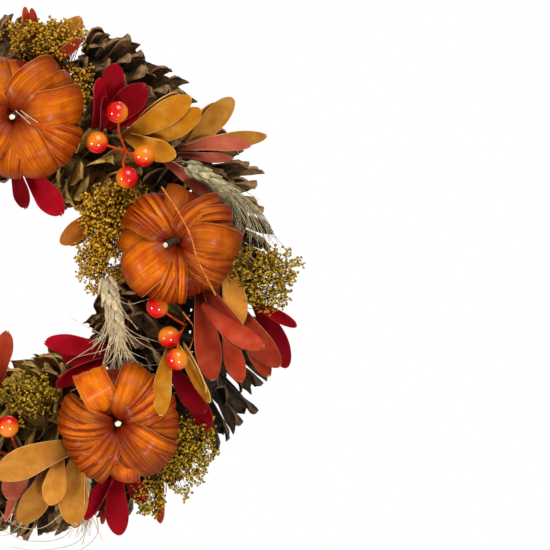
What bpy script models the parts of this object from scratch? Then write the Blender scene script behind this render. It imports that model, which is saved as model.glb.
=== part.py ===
"""Harvest door wreath: a vine ring dressed with pine cones, husk pumpkins, wood-curl leaves,
berry sprigs, gold sprays and wheat ears, with a wire hanging loop stapled to its back.

Frame: metres, +Z up. The front faces -Y and the door is the plane Y = 0. The origin is the hook
seat, the back edge of the ring's inner face at its top. A place on the wreath is a radius from the
ring's centre, an angle in degrees anticlockwise from +X as seen from the front, and a depth in
front of the door.

Depths, from the door outwards: the ring, with cones lying beside it inside and out; the leaf
levels, which rest on the cones' crests; the wire layer; then pumpkins, sprays, wheat and berries.
Every piece stands on a wire pick that lands on the ring's front in the channel between the cones.
"""

import math

import bmesh
import bpy
from mathutils import Matrix, Vector

FULL_TURN = 360.0
HALF_TURN = FULL_TURN / 2
QUARTER_TURN = FULL_TURN / 4

# Fits
TOUCH_GAP = 0.0004            # glue line between pieces that touch
RUNNING_GAP = 0.0003          # wire in its hole, and the loop's bar under its staple
STRAIGHT_SHARE = 0.0004       # runs whose sine is below this share lie in one line

# Vine ring, a flat-backed bundle
RING_INNER_RADIUS = 0.090
RING_WIDTH = 0.022
RING_DEPTH = 0.020
RING_EDGE = 0.006             # rounding of its two front edges
RING_EDGE_BULGE = 0.3         # how far the rounding's middle point keeps from the corner
RING_STEPS = 56

# Pine cones
OUTER_CONE_RADIUS = 0.024
OUTER_CONE_LENGTH = 0.064
INNER_CONE_RADIUS = 0.020
INNER_CONE_LENGTH = 0.050
CONE_SIDES = 12
CONE_SCALE_DIP = 0.86         # hollows between scales, as a share of the radius
CONE_END_SHARE = 0.5          # half thickness near a cone's ends, as a share of its radius
CONE_PROFILE = (              # along the axis from tip to base, and radius, as shares
    (-0.50, 0.20), (-0.38, 0.52), (-0.20, 0.80), (0.02, 0.97), (0.24, 1.00), (0.42, 0.78),
    (0.50, 0.42))
OUTER_CONE_START = 95.0
OUTER_CONE_GAPS = (11, 11, 13, 1, 1, 3, 3, 3, 9, 16)      # shares of the rim left between cones
INNER_CONE_START = 50.0
INNER_CONE_GAPS = (26, 7, 4, 14, 14, 19)

# Leaves, cut from thin wood curl
LEAF_THICKNESS = 0.0010
LEAF_LEVELS = 4
LEAF_HUB_RADIUS = 0.0035
LEAF_STEPS = (-58, -34, -21, -12, -5, 5, 12, 21, 34, 58)  # outline bearings about a petal's line
LEAF_STEP_MERGE = 4.0         # outline bearings closer than this are one
LEAF_HUB_STEPS = 8            # points round the hub where no petal leaves it

# Wires and picks
LEAF_WIRE_RADIUS = 0.0004
DRESSING_WIRE_RADIUS = 0.0008
WIRE_SIDES = 6
BERRY_WIRE_RADIUS = 0.0007

# Pumpkins, bent from husk strips
PUMPKIN_RADIUS = 0.035
PUMPKIN_HALF_HEIGHT = 0.018
PUMPKIN_LOBES = 10
PUMPKIN_VALLEY = 0.90         # radius in the folds, as a share
PUMPKIN_PROFILE = (           # radius and height shares, front to back
    (0.11, 0.56), (0.20, 0.60), (0.42, 0.92), (0.68, 1.00), (0.90, 0.72), (1.00, 0.15),
    (0.94, -0.42), (0.70, -0.86), (0.36, -1.00))
PUMPKIN_SEAT_SHARE = 0.56     # height of the dimple's floor, as a share of the half height
PUMPKIN_PEG_RADIUS = 0.0025
PEG_SIDES = 8
STEM_RADIUS = 0.0023
STEM_TIP_RADIUS = 0.0018
STEM_LENGTH = 0.013
STEM_STRAIGHT = 0.004
STEM_SIDES = 8

# Berries, sprays and wheat
BERRY_RADIUS = 0.0065
BERRY_RISE = 0.012            # berry's centre in front of the wire layer
WHEAT_RADIUS = 0.0055
WHEAT_SIDES = 8
WHEAT_PROFILE = ((-0.50, 0.30), (-0.38, 0.80), (-0.10, 1.00), (0.20, 0.85), (0.50, 0.20))
WHEAT_SINK = 0.30             # wire's reach inside the ear, as a share of its length
SPRAY_LUMP = 0.14             # unevenness of a spray's outline, as a share
SPRAY_LUMP_STEP = math.pi * math.sqrt(2)   # phase from one corner's lump to the next
BALL_DETAIL = 2               # subdivisions of a berry and of a spray's clump

# Hanging loop and its staple
LOOP_WIRE_RADIUS = 0.0010
LOOP_HALF_WIDTH = 0.017
LOOP_DROP = 0.036
LOOP_CORNER = 0.004
LOOP_CORNER_STEPS = 3
LOOP_BEND_STEPS = 10
LOOP_SIDES = 8
STAPLE_WIRE_RADIUS = 0.0008
STAPLE_LEG = 0.010            # length held in the ring
STAPLE_SIDES = 8
STAPLE_BEND_STEPS = 4

# Depths in front of the door, and radii, that follow from the sizes above
RING_MID_RADIUS = RING_INNER_RADIUS + RING_WIDTH / 2
RING_OUTER_RADIUS = RING_INNER_RADIUS + RING_WIDTH
PICK_FOOT = RING_DEPTH + TOUCH_GAP
CREST = 2 * OUTER_CONE_RADIUS
LEAF_BASE = CREST + TOUCH_GAP
LEAF_PITCH = LEAF_THICKNESS + TOUCH_GAP
WIRE_LAYER = LEAF_BASE + LEAF_LEVELS * LEAF_PITCH
WIRE_DEPTH = WIRE_LAYER + DRESSING_WIRE_RADIUS
DRESSING_BASE = WIRE_LAYER + 2 * DRESSING_WIRE_RADIUS + TOUCH_GAP
PUMPKIN_DEPTH = DRESSING_BASE + PUMPKIN_HALF_HEIGHT
OUTER_CONE_ORBIT = RING_OUTER_RADIUS + TOUCH_GAP + OUTER_CONE_RADIUS
INNER_CONE_ORBIT = RING_INNER_RADIUS - TOUCH_GAP - INNER_CONE_RADIUS
LOOP_DEPTH = -(TOUCH_GAP + LOOP_WIRE_RADIUS)
LOOP_BAR_HEIGHT = RING_MID_RADIUS - RING_INNER_RADIUS

# Pumpkins: radius past the ring's middle, angle, and the stem's lean across and up
PUMPKINS = {
    "top": (-0.006, 86.0, 0.001, -0.002),
    "right": (0.004, 10.0, -0.007, -0.001),
    "lower_right": (0.011, -52.0, 0.001, 0.001),
    "lower_left": (0.007, -125.0, 0.003, 0.002),
    "left": (0.004, 166.0, 0.002, -0.004),
}

# Leaf clusters: finish, hub's radius past the ring's middle, its angle, level, pick's angle, and
# the petals as bearing from the outward line (anticlockwise), length and width
LEAVES = {
    "leaf_crimson_upper": ("petal_crimson", 0.017, 56.0, 0, 57.0, (
        (49, 0.029, 0.015), (-34, 0.028, 0.017), (76, 0.022, 0.012), (-72, 0.020, 0.012))),
    "leaf_gold_upper": ("petal_gold", 0.011, 48.6, 3, 51.0, (
        (-17, 0.046, 0.015), (-38, 0.044, 0.016), (-72, 0.031, 0.014))),
    "leaf_tan_upper": ("petal_gold", 0.035, 33.3, 1, 36.0, (
        (22, 0.038, 0.014), (-21, 0.042, 0.016), (-48, 0.022, 0.013))),
    "leaf_gold_top": ("petal_gold", 0.037, 78.7, 1, 76.0, (
        (-33, 0.030, 0.014), (-4, 0.024, 0.013), (26, 0.022, 0.012))),
    "leaf_crimson_inner_top": ("petal_crimson", -0.037, 82.0, 0, 94.0, (
        (-174, 0.023, 0.013), (-130, 0.036, 0.015))),
    "leaf_rust_right": ("petal_rust", 0.023, -7.0, 1, -5.0, (
        (-82, 0.047, 0.015), (-60, 0.048, 0.015), (-36, 0.046, 0.014))),
    "leaf_gold_right": ("petal_gold", 0.017, -24.0, 3, -27.0, (
        (-86, 0.036, 0.013), (-38, 0.031, 0.012))),
    "leaf_crimson_inner_right": ("petal_crimson", -0.026, -37.0, 0, -36.0, (
        (-151, 0.036, 0.014), (-110, 0.036, 0.013))),
    "leaf_crimson_bottom": ("petal_crimson", 0.039, -62.0, 0, -63.0, (
        (-62, 0.032, 0.013), (-25, 0.033, 0.014), (14, 0.023, 0.010))),
    "leaf_gold_bottom": ("petal_gold", 0.012, -69.8, 2, -71.0, (
        (-96, 0.043, 0.014), (-58, 0.051, 0.015), (-37, 0.038, 0.013), (-15, 0.044, 0.015))),
}

# Leaf clusters of the far half: the one mirrored, its finish, and the turn after mirroring
MIRRORED_LEAVES = {
    "leaf_rust_upper_left": ("leaf_crimson_upper", "petal_rust", 0.0),
    "leaf_gold_upper_left": ("leaf_gold_upper", "petal_gold", 2.0),
    "leaf_crimson_upper_left": ("leaf_tan_upper", "petal_crimson", -2.0),
    "leaf_rust_left": ("leaf_rust_right", "petal_rust", -3.0),
    "leaf_gold_left": ("leaf_gold_right", "petal_gold", 1.0),
    "leaf_crimson_inner_left": ("leaf_crimson_inner_right", "petal_crimson", 4.0),
    "leaf_crimson_bottom_left": ("leaf_crimson_bottom", "petal_crimson", -1.0),
}

# Gold sprays: pumpkin beside, bearing from it, clearance, half sizes across, deep and up, and the
# pick's angle
SPRAYS = {
    "gold_spray_top": ("top", 69.0, 0.0015, (0.024, 0.008, 0.011), 71.0),
    "gold_spray_inner_right": ("right", 167.0, 0.003, (0.013, 0.009, 0.025), 31.0),
    "gold_spray_right": ("right", -18.0, 0.001, (0.018, 0.009, 0.018), -13.0),
    "gold_spray_lower_right": ("lower_right", -30.0, 0.001, (0.015, 0.008, 0.018), -34.0),
    "gold_spray_inner_left": ("left", 8.0, 0.003, (0.013, 0.009, 0.023), 151.0),
    "gold_spray_lower_left": ("lower_left", 206.0, 0.001, (0.015, 0.008, 0.018), -145.0),
}

# Wheat ears: pumpkin beside, bearing from it, clearance, direction from foot to tip, length, and
# the pick's angle
WHEAT = {
    "wheat_ear_upper_right": ("right", 52.0, 0.002, -40.0, 0.042, 33.0),
    "wheat_ear_inner_right": ("right", -131.0, 0.013, -76.0, 0.048, -10.0),
    "wheat_ear_upper_left": ("left", 122.0, 0.002, -142.0, 0.042, 144.0),
}

# Berry sprigs: the pick's angle, and each berry's pumpkin, bearing and clearance
BERRY_SPRIGS = {
    "berry_sprig_upper_right": (46.0, (
        ("top", 2.0, 0.020), ("top", -18.0, 0.010), ("right", 111.0, 0.015),
        ("right", 127.0, 0.009))),
    "berry_sprig_right": (-20.0, (
        ("right", -108.0, 0.001), ("right", -96.0, 0.014), ("lower_right", 51.0, 0.010))),
    "berry_sprig_bottom": (-88.0, (
        ("lower_right", 179.0, 0.024), ("lower_left", -14.0, 0.012),
        ("lower_left", -34.0, 0.018))),
    "berry_sprig_upper_left": (129.0, (
        ("top", 186.0, 0.018), ("top", 204.0, 0.012), ("left", 66.0, 0.014),
        ("left", 48.0, 0.010))),
    "berry_sprig_left": (-162.0, (
        ("left", -70.0, 0.002), ("left", -88.0, 0.012), ("lower_left", 132.0, 0.012))),
}

# Finishes: linear colour, roughness and metallic value
FINISHES = {
    "vine": ((0.130, 0.070, 0.035), 0.85, 0.0),
    "wire": ((0.300, 0.290, 0.270), 0.40, 1.0),
    "pine_cone": ((0.110, 0.058, 0.025), 0.75, 0.0),
    "husk_orange": ((0.560, 0.165, 0.008), 0.35, 0.0),
    "stem": ((0.050, 0.025, 0.012), 0.80, 0.0),
    "petal_crimson": ((0.260, 0.006, 0.010), 0.60, 0.0),
    "petal_rust": ((0.370, 0.045, 0.016), 0.65, 0.0),
    "petal_gold": ((0.560, 0.240, 0.035), 0.65, 0.0),
    "berry": ((0.650, 0.045, 0.004), 0.12, 0.0),
    "gold_spray": ((0.270, 0.150, 0.022), 0.70, 0.0),
    "wheat": ((0.600, 0.460, 0.270), 0.70, 0.0),
}

SMOOTH_ANGLE = math.radians(40.0)


# ---- Places --------------------------------------------------------------------------------

def wreath_point(radius, angle, depth):
    """World point at a radius and angle on the wreath, so far in front of the door."""
    turn = math.radians(angle)
    return Vector((radius * math.cos(turn), -depth, radius * math.sin(turn) - RING_INNER_RADIUS))


def in_plane(bearing, distance):
    """Step parallel to the door, along a bearing seen from the front."""
    turn = math.radians(bearing)
    return Vector((distance * math.cos(turn), 0.0, distance * math.sin(turn)))


def pumpkin_centre(spot):
    offset, angle, _, _ = PUMPKINS[spot]
    return wreath_point(RING_MID_RADIUS + offset, angle, PUMPKIN_DEPTH)


def beside_pumpkin(spot, bearing, reach, depth):
    """Point beside a pumpkin, reach past its side along a bearing, at a given depth."""
    point = pumpkin_centre(spot) + in_plane(bearing, PUMPKIN_RADIUS + reach)
    point.y = -depth
    return point


def pick_foot(angle):
    return wreath_point(RING_MID_RADIUS, angle, PICK_FOOT)


def spread_angles(start, piece_angle, gap_shares):
    """Angles of pieces laid clockwise round the ring, the gaps sharing what the pieces leave."""
    spare = FULL_TURN - piece_angle * len(gap_shares)
    angles = [start]
    for share in gap_shares[:-1]:
        angles.append(angles[-1] - piece_angle - spare * share / sum(gap_shares))
    return angles


# ---- Shapes --------------------------------------------------------------------------------

def skin(rings, looped=False):
    """Closed shape through rings of equal count, capped at both ends or joined end to end."""
    shape = bmesh.new()
    rows = [[shape.verts.new(point) for point in ring] for ring in rings]
    followers = rows[1:] + rows[:1] if looped else rows[1:]
    for row, following in zip(rows, followers):
        for index, corner in enumerate(row):
            after = (index + 1) % len(row)
            shape.faces.new((corner, row[after], following[after], following[index]))
    if not looped:
        shape.faces.new(rows[0])
        shape.faces.new(rows[-1])
    bmesh.ops.recalc_face_normals(shape, faces=shape.faces)
    return shape


def turned(profile, radius, length, sides, dip=1.0):
    """Solid of revolution about Z; dip draws every second point in, in a diamond pattern."""
    rings = []
    for row, (along, share) in enumerate(profile):
        ring = []
        for step in range(sides):
            turn = math.tau * step / sides
            reach = radius * share * (1.0 if (row + step) % 2 == 0 else dip)
            ring.append(Vector((reach * math.sin(turn), -reach * math.cos(turn), along * length)))
        rings.append(ring)
    return skin(rings)


def tube(points, radius, sides, normal=None, looped=False, tip_radius=None):
    """Round wire along a path that lies in one plane, mitred at its bends."""
    count = len(points)
    first_run = points[1] - points[0]
    last_run = points[-1] - points[-2]
    if normal is None:
        normal = first_run.cross(last_run)
        straight = normal.length < first_run.length * last_run.length * STRAIGHT_SHARE
        normal = first_run.orthogonal() if straight else normal
    normal = normal.normalized()
    rings = []
    for index, point in enumerate(points):
        inner = looped or 0 < index < count - 1
        run_in = point - points[index - 1] if index > 0 or looped else points[1] - point
        run_out = points[(index + 1) % count] - point if index < count - 1 or looped else run_in
        along = (run_in.normalized() + run_out.normalized()).normalized()
        widen = 1.0 / along.dot(run_in.normalized()) if inner else 1.0
        thick = radius
        if tip_radius is not None:
            thick += (tip_radius - radius) * index / (count - 1)
        across = normal.cross(along) * thick * widen
        ring = []
        for step in range(sides):
            turn = math.tau * (step + 0.5) / sides
            ring.append(point + across * math.cos(turn) + normal * thick * math.sin(turn))
        rings.append(ring)
    return skin(rings, looped)


def ball(centre, radius, detail):
    shape = bmesh.new()
    bmesh.ops.create_icosphere(shape, subdivisions=detail, radius=radius,
                               matrix=Matrix.Translation(centre))
    return shape


def helper(shape):
    """Temporary object holding a shape for a Boolean."""
    mesh = bpy.data.meshes.new("helper")
    shape.to_mesh(mesh)
    shape.free()
    tool = bpy.data.objects.new("helper", mesh)
    tool.hide_render = True
    tool.display_type = 'WIRE'
    bpy.context.scene.collection.objects.link(tool)
    return tool


def combined(base, others, operation='UNION'):
    """Base joined with, or cut by, the other shapes."""
    body = helper(base)
    tools = [helper(other) for other in others]
    for tool in tools:
        change = body.modifiers.new("combine", 'BOOLEAN')
        change.operation = operation
        change.solver = 'EXACT'
        change.object = tool
    result = bmesh.new()
    result.from_object(body, bpy.context.evaluated_depsgraph_get())
    for used in [body] + tools:
        mesh = used.data
        bpy.data.objects.remove(used)
        bpy.data.meshes.remove(mesh)
    return result


def finish_material(name, finish):
    colour, roughness, metallic = FINISHES[finish]
    material = bpy.data.materials.new(name)
    material.use_nodes = True
    shader = material.node_tree.nodes["Principled BSDF"]
    shader.inputs["Base Color"].default_value = (*colour, 1.0)
    shader.inputs["Roughness"].default_value = roughness
    shader.inputs["Metallic"].default_value = metallic
    material.diffuse_color = (*colour, 1.0)
    return material


def add_piece(name, finish, shape):
    """Named object holding a shape, with a material of its own and smooth round faces."""
    mesh = bpy.data.meshes.new(name)
    shape.to_mesh(mesh)
    shape.free()
    mesh.materials.append(finish_material(name, finish))
    mesh.shade_smooth()
    mesh.set_sharp_from_angle(angle=SMOOTH_ANGLE)
    piece = bpy.data.objects.new(name, mesh)
    bpy.context.scene.collection.objects.link(piece)
    return piece


def pick_wire(start, angle, radius):
    """Wire from a piece, level with its start, to over the channel and down to the ring."""
    foot = pick_foot(angle)
    elbow = Vector((foot.x, start.y, foot.z))
    return tube([start, elbow, foot], radius, WIRE_SIDES)


# ---- Ring and hanger -----------------------------------------------------------------------

def ring_section():
    """Section of the vine bundle as radius and depth: flat back, rounded front edges."""
    inner = RING_INNER_RADIUS
    outer = RING_OUTER_RADIUS
    bulge = RING_EDGE * RING_EDGE_BULGE
    return (
        (inner, 0.0), (outer, 0.0),
        (outer, RING_DEPTH - RING_EDGE), (outer - bulge, RING_DEPTH - bulge),
        (outer - RING_EDGE, RING_DEPTH), (inner + RING_EDGE, RING_DEPTH),
        (inner + bulge, RING_DEPTH - bulge), (inner, RING_DEPTH - RING_EDGE))


def staple_leg_offset():
    return LOOP_WIRE_RADIUS + RUNNING_GAP + STAPLE_WIRE_RADIUS


def add_vine_ring():
    rings = []
    for step in range(RING_STEPS):
        angle = FULL_TURN * step / RING_STEPS
        rings.append([wreath_point(radius, angle, depth) for radius, depth in ring_section()])
    holes = []
    for side in (-1, 1):
        mouth = Vector((0.0, STAPLE_LEG, LOOP_BAR_HEIGHT + side * staple_leg_offset()))
        floor = Vector((0.0, -STAPLE_LEG - RUNNING_GAP, mouth.z))
        holes.append(tube([mouth, floor], STAPLE_WIRE_RADIUS + RUNNING_GAP, STAPLE_SIDES))
    add_piece("vine_ring", "vine", combined(skin(rings, looped=True), holes, 'DIFFERENCE'))


def add_hanger_staple():
    """U of wire over the loop's bar, its legs in the ring."""
    offset = staple_leg_offset()
    points = [Vector((0.0, -STAPLE_LEG, LOOP_BAR_HEIGHT - offset))]
    for step in range(STAPLE_BEND_STEPS + 1):
        turn = math.pi * step / STAPLE_BEND_STEPS
        points.append(Vector((0.0, -LOOP_DEPTH + offset * math.sin(turn),
                              LOOP_BAR_HEIGHT - offset * math.cos(turn))))
    points.append(Vector((0.0, -STAPLE_LEG, LOOP_BAR_HEIGHT + offset)))
    add_piece("hanger_staple", "wire", tube(points, STAPLE_WIRE_RADIUS, STAPLE_SIDES))


def loop_outline():
    """Centreline of the loop about its bar, as across and up: a flat top and a round bottom."""
    corner_low = -LOOP_CORNER
    bend_centre = -(LOOP_DROP - LOOP_HALF_WIDTH)
    points = []
    for step in range(LOOP_CORNER_STEPS + 1):
        turn = math.radians(QUARTER_TURN) * step / LOOP_CORNER_STEPS
        points.append((LOOP_HALF_WIDTH - LOOP_CORNER + LOOP_CORNER * math.sin(turn),
                       corner_low + LOOP_CORNER * math.cos(turn)))
    for step in range(LOOP_BEND_STEPS + 1):
        turn = math.pi * step / LOOP_BEND_STEPS
        points.append((LOOP_HALF_WIDTH * math.cos(turn),
                       bend_centre - LOOP_HALF_WIDTH * math.sin(turn)))
    for step in range(LOOP_CORNER_STEPS + 1):
        turn = math.radians(QUARTER_TURN) * step / LOOP_CORNER_STEPS
        points.append((LOOP_CORNER - LOOP_HALF_WIDTH - LOOP_CORNER * math.cos(turn),
                       corner_low + LOOP_CORNER * math.sin(turn)))
    return points


def add_hanging_loop():
    """Wire loop that turns on its straight bar; its parent empty stands on that axis."""
    points = [Vector((across, 0.0, up)) for across, up in loop_outline()]
    shape = tube(points, LOOP_WIRE_RADIUS, LOOP_SIDES, normal=Vector((0.0, 1.0, 0.0)), looped=True)
    loop = add_piece("hanging_loop", "wire", shape)
    hinge = bpy.data.objects.new("loop_hinge", None)
    hinge.location = (0.0, -LOOP_DEPTH, LOOP_BAR_HEIGHT)
    bpy.context.scene.collection.objects.link(hinge)
    loop.parent = hinge


# ---- Cones ---------------------------------------------------------------------------------

def add_cones(prefix, radius, length, orbit, centre_depth, start, gap_shares):
    """Row of cones beside the ring, each along the tangent with its tip clockwise."""
    near_radius = orbit - radius * CONE_END_SHARE
    piece_angle = 2 * math.degrees(math.atan((length / 2 + TOUCH_GAP) / near_radius))
    for number, angle in enumerate(spread_angles(start, piece_angle, gap_shares), start=1):
        shape = turned(CONE_PROFILE, radius, length, CONE_SIDES, CONE_SCALE_DIP)
        cone = add_piece(f"{prefix}_{number:02d}", "pine_cone", shape)
        cone.location = wreath_point(orbit, angle, centre_depth)
        cone.rotation_euler = (0.0, -math.radians(angle), 0.0)


# ---- Pumpkins ------------------------------------------------------------------------------

def pumpkin_rings(centre):
    rings = []
    for share, height in PUMPKIN_PROFILE:
        ring = []
        for step in range(2 * PUMPKIN_LOBES):
            bearing = FULL_TURN * step / (2 * PUMPKIN_LOBES)
            fold = PUMPKIN_VALLEY if step % 2 and share > PUMPKIN_PROFILE[1][0] else 1.0
            point = centre + in_plane(bearing, PUMPKIN_RADIUS * share * fold)
            point.y -= PUMPKIN_HALF_HEIGHT * height
            ring.append(point)
        rings.append(ring)
    return rings


def add_pumpkin(spot):
    """Lobed husk pumpkin with the peg that holds it on the ring, and its twig stem."""
    _, angle, lean_across, lean_up = PUMPKINS[spot]
    centre = pumpkin_centre(spot)
    foot = pick_foot(angle)
    head = Vector((foot.x, centre.y, foot.z))
    peg = tube([head, foot], PUMPKIN_PEG_RADIUS, PEG_SIDES)
    add_piece(f"pumpkin_{spot}", "husk_orange", combined(skin(pumpkin_rings(centre)), [peg]))

    seat = centre.copy()
    seat.y -= PUMPKIN_HALF_HEIGHT * PUMPKIN_SEAT_SHARE + TOUCH_GAP
    neck = seat - Vector((0.0, STEM_STRAIGHT, 0.0))
    tip = seat + Vector((lean_across, -STEM_LENGTH, lean_up))
    stem = tube([seat, neck, tip], STEM_RADIUS, STEM_SIDES, tip_radius=STEM_TIP_RADIUS)
    add_piece(f"pumpkin_stem_{spot}", "stem", stem)


# ---- Leaves --------------------------------------------------------------------------------

def petal_reach(offset, length, width):
    """Distance from a petal's foot to its outline, offset degrees off its own line."""
    turn = math.radians(offset)
    if math.cos(turn) <= 0.0:
        return 0.0
    half_length = length / 2
    half_width = width / 2
    spread = (half_width * math.cos(turn)) ** 2 + (half_length * math.sin(turn)) ** 2
    return 2 * half_length * half_width ** 2 * math.cos(turn) / spread


def outline_bearings(bearings):
    """Bearings that trace every petal, without near repeats."""
    petal_bearings = [bearing + step for bearing in bearings for step in LEAF_STEPS]
    hub_bearings = [FULL_TURN * step / LEAF_HUB_STEPS for step in range(LEAF_HUB_STEPS)]
    wanted = sorted(bearing % FULL_TURN for bearing in petal_bearings + hub_bearings)
    kept = wanted[:1]
    for bearing in wanted[1:]:
        if bearing - kept[-1] >= LEAF_STEP_MERGE:
            kept.append(bearing)
    return kept


def add_leaf(name, finish, offset, angle, level, pick_angle, petals):
    """Lobed plate at its own level, with the wire pick that holds it."""
    back = LEAF_BASE + level * LEAF_PITCH
    hub = wreath_point(RING_MID_RADIUS + offset, angle, back)
    bearings = outline_bearings([angle + petal[0] for petal in petals])
    outline = []
    for bearing in bearings:
        reach = LEAF_HUB_RADIUS
        for petal, length, width in petals:
            reach = max(reach, petal_reach(bearing - angle - petal, length, width))
        outline.append(hub + in_plane(bearing, reach))
    front = [point - Vector((0.0, LEAF_THICKNESS, 0.0)) for point in outline]
    middle = hub - Vector((0.0, LEAF_THICKNESS / 2, 0.0))
    pick = pick_wire(middle, pick_angle, LEAF_WIRE_RADIUS)
    add_piece(name, finish, combined(skin([outline, front]), [pick]))


def mirrored_leaf(source, finish, turn):
    """Another cluster's places and petals, mirrored left to right and then turned."""
    _, offset, angle, level, pick_angle, petals = LEAVES[source]
    flipped = tuple((-bearing, length, width) for bearing, length, width in petals)
    return (finish, offset, HALF_TURN - angle + turn, level, HALF_TURN - pick_angle + turn, flipped)


# ---- Sprays, wheat and berries -------------------------------------------------------------

def add_spray(name, spot, bearing, clearance, halves, pick_angle):
    """Uneven clump of gold filler on a wire pick."""
    across, deep, up = halves
    turn = math.radians(bearing)
    own_reach = math.hypot(across * math.cos(turn), up * math.sin(turn)) * (1 + SPRAY_LUMP)
    depth = DRESSING_BASE + deep * (1 + SPRAY_LUMP)
    centre = beside_pumpkin(spot, bearing, clearance + own_reach, depth)
    clump = ball(Vector(), 1.0, BALL_DETAIL)
    for index, corner in enumerate(clump.verts):
        lump = 1 + SPRAY_LUMP * math.sin(index * SPRAY_LUMP_STEP)
        corner.co = centre + Vector((corner.co.x * across, corner.co.y * deep,
                                     corner.co.z * up)) * lump
    start = Vector((centre.x, -WIRE_DEPTH, centre.z))
    foot = pick_foot(pick_angle)
    elbow = Vector((foot.x, -WIRE_DEPTH, foot.z))
    riser = tube([centre, start], DRESSING_WIRE_RADIUS, WIRE_SIDES)
    pick = tube([start + (start - elbow).normalized() * DRESSING_WIRE_RADIUS / 2, elbow, foot],
                DRESSING_WIRE_RADIUS, WIRE_SIDES)
    add_piece(name, "gold_spray", combined(clump, [riser, pick]))


def add_wheat(name, spot, bearing, clearance, direction, length, pick_angle):
    """Wheat ear lying parallel to the door, on a wire pick from its foot."""
    depth = DRESSING_BASE + WHEAT_RADIUS
    centre = beside_pumpkin(spot, bearing, clearance + WHEAT_RADIUS, depth)
    ear = turned(WHEAT_PROFILE, WHEAT_RADIUS, length, WHEAT_SIDES)
    lay = Matrix.Translation(centre) @ Matrix.Rotation(math.radians(QUARTER_TURN - direction), 4, 'Y')
    ear.transform(lay)
    start = centre - in_plane(direction, length * WHEAT_SINK)
    foot = pick_foot(pick_angle)
    elbow = Vector((foot.x, -WIRE_DEPTH, foot.z))
    pick = tube([start, elbow, foot], DRESSING_WIRE_RADIUS, WIRE_SIDES)
    add_piece(name, "wheat", combined(ear, [pick]))


def add_berry_sprig(name, pick_angle, berries):
    """Berries on wires that branch from one pick."""
    foot = pick_foot(pick_angle)
    fork = Vector((foot.x, -WIRE_DEPTH, foot.z))
    parts = []
    for spot, bearing, clearance in berries:
        centre = beside_pumpkin(spot, bearing, clearance + BERRY_RADIUS, WIRE_DEPTH + BERRY_RISE)
        parts.append(tube([fork, centre], BERRY_WIRE_RADIUS, WIRE_SIDES))
        parts.append(ball(centre, BERRY_RADIUS, BALL_DETAIL))
    stalk_top = fork - Vector((0.0, DRESSING_WIRE_RADIUS, 0.0))
    stalk = tube([foot, stalk_top], DRESSING_WIRE_RADIUS, WIRE_SIDES)
    add_piece(name, "berry", combined(stalk, parts))


# ---- The whole wreath ----------------------------------------------------------------------

def clear_scene():
    for thing in list(bpy.data.objects):
        bpy.data.objects.remove(thing)


def build_wreath():
    clear_scene()
    add_vine_ring()
    add_hanger_staple()
    add_hanging_loop()
    add_cones("outer_cone", OUTER_CONE_RADIUS, OUTER_CONE_LENGTH, OUTER_CONE_ORBIT,
              OUTER_CONE_RADIUS, OUTER_CONE_START, OUTER_CONE_GAPS)
    add_cones("inner_cone", INNER_CONE_RADIUS, INNER_CONE_LENGTH, INNER_CONE_ORBIT,
              CREST - INNER_CONE_RADIUS, INNER_CONE_START, INNER_CONE_GAPS)
    for spot in PUMPKINS:
        add_pumpkin(spot)
    for name, leaf in LEAVES.items():
        add_leaf(name, *leaf)
    for name, (source, finish, turn) in MIRRORED_LEAVES.items():
        add_leaf(name, *mirrored_leaf(source, finish, turn))
    for name, spray in SPRAYS.items():
        add_spray(name, *spray)
    for name, ear in WHEAT.items():
        add_wheat(name, *ear)
    for name, sprig in BERRY_SPRIGS.items():
        add_berry_sprig(name, *sprig)


build_wreath()
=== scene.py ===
import math
import random

import bpy
from mathutils import Matrix, Vector


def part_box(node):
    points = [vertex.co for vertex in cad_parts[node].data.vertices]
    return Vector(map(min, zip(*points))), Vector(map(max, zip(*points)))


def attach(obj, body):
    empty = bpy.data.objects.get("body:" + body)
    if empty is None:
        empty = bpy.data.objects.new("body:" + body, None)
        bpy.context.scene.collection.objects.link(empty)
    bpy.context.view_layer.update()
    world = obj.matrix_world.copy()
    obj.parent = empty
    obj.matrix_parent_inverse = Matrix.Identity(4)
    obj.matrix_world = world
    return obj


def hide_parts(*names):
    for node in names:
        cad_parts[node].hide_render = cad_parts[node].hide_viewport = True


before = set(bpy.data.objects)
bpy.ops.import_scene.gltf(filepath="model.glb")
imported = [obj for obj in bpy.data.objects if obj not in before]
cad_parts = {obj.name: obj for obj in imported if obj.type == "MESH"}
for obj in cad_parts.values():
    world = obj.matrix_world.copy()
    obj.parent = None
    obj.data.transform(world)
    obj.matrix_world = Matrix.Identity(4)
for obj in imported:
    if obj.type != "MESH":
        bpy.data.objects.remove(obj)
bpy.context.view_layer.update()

bl_info = {
    "name": "Harvest Door Wreath",
    "version": (1, 0, 0),
    "blender": (4, 5, 0),
    "location": "View3D > Sidebar > Wreath",
    "description": "Dresses a wreath frame with cones, husk pumpkins, leaves, berries, sprays and wheat",
    "category": "Object",
}

MM = 0.001
WREATH_BODY = "wreath"
LOOP_BODY = "hanging_loop"
FORWARD = Vector((0.0, -1.0, 0.0))
GOLDEN_TURN = math.pi * (3.0 - math.sqrt(5.0))


def box_centre(node):
    low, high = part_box(node)
    return (low + high) / 2


# The wreath's centre lies in the door plane; the hook seat, at the origin, is inside the ring's top
RING_LOW, RING_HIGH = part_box("vine_ring")
CENTRE = box_centre("vine_ring")
CENTRE.y = RING_HIGH.y
RING_OUTER = (RING_HIGH.x - RING_LOW.x) / 2
RING_INNER = -CENTRE.z
RING_MIDDLE = (RING_OUTER + RING_INNER) / 2
RING_HALF_WIDTH = (RING_OUTER - RING_INNER) / 2
RING_HALF_DEPTH = (RING_HIGH.y - RING_LOW.y) / 2


def spot(across, up, depth):
    """A place on the wreath: millimetres right of and above its centre, and in front of the door."""
    return CENTRE + Vector((across, -depth, up)) * MM


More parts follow.
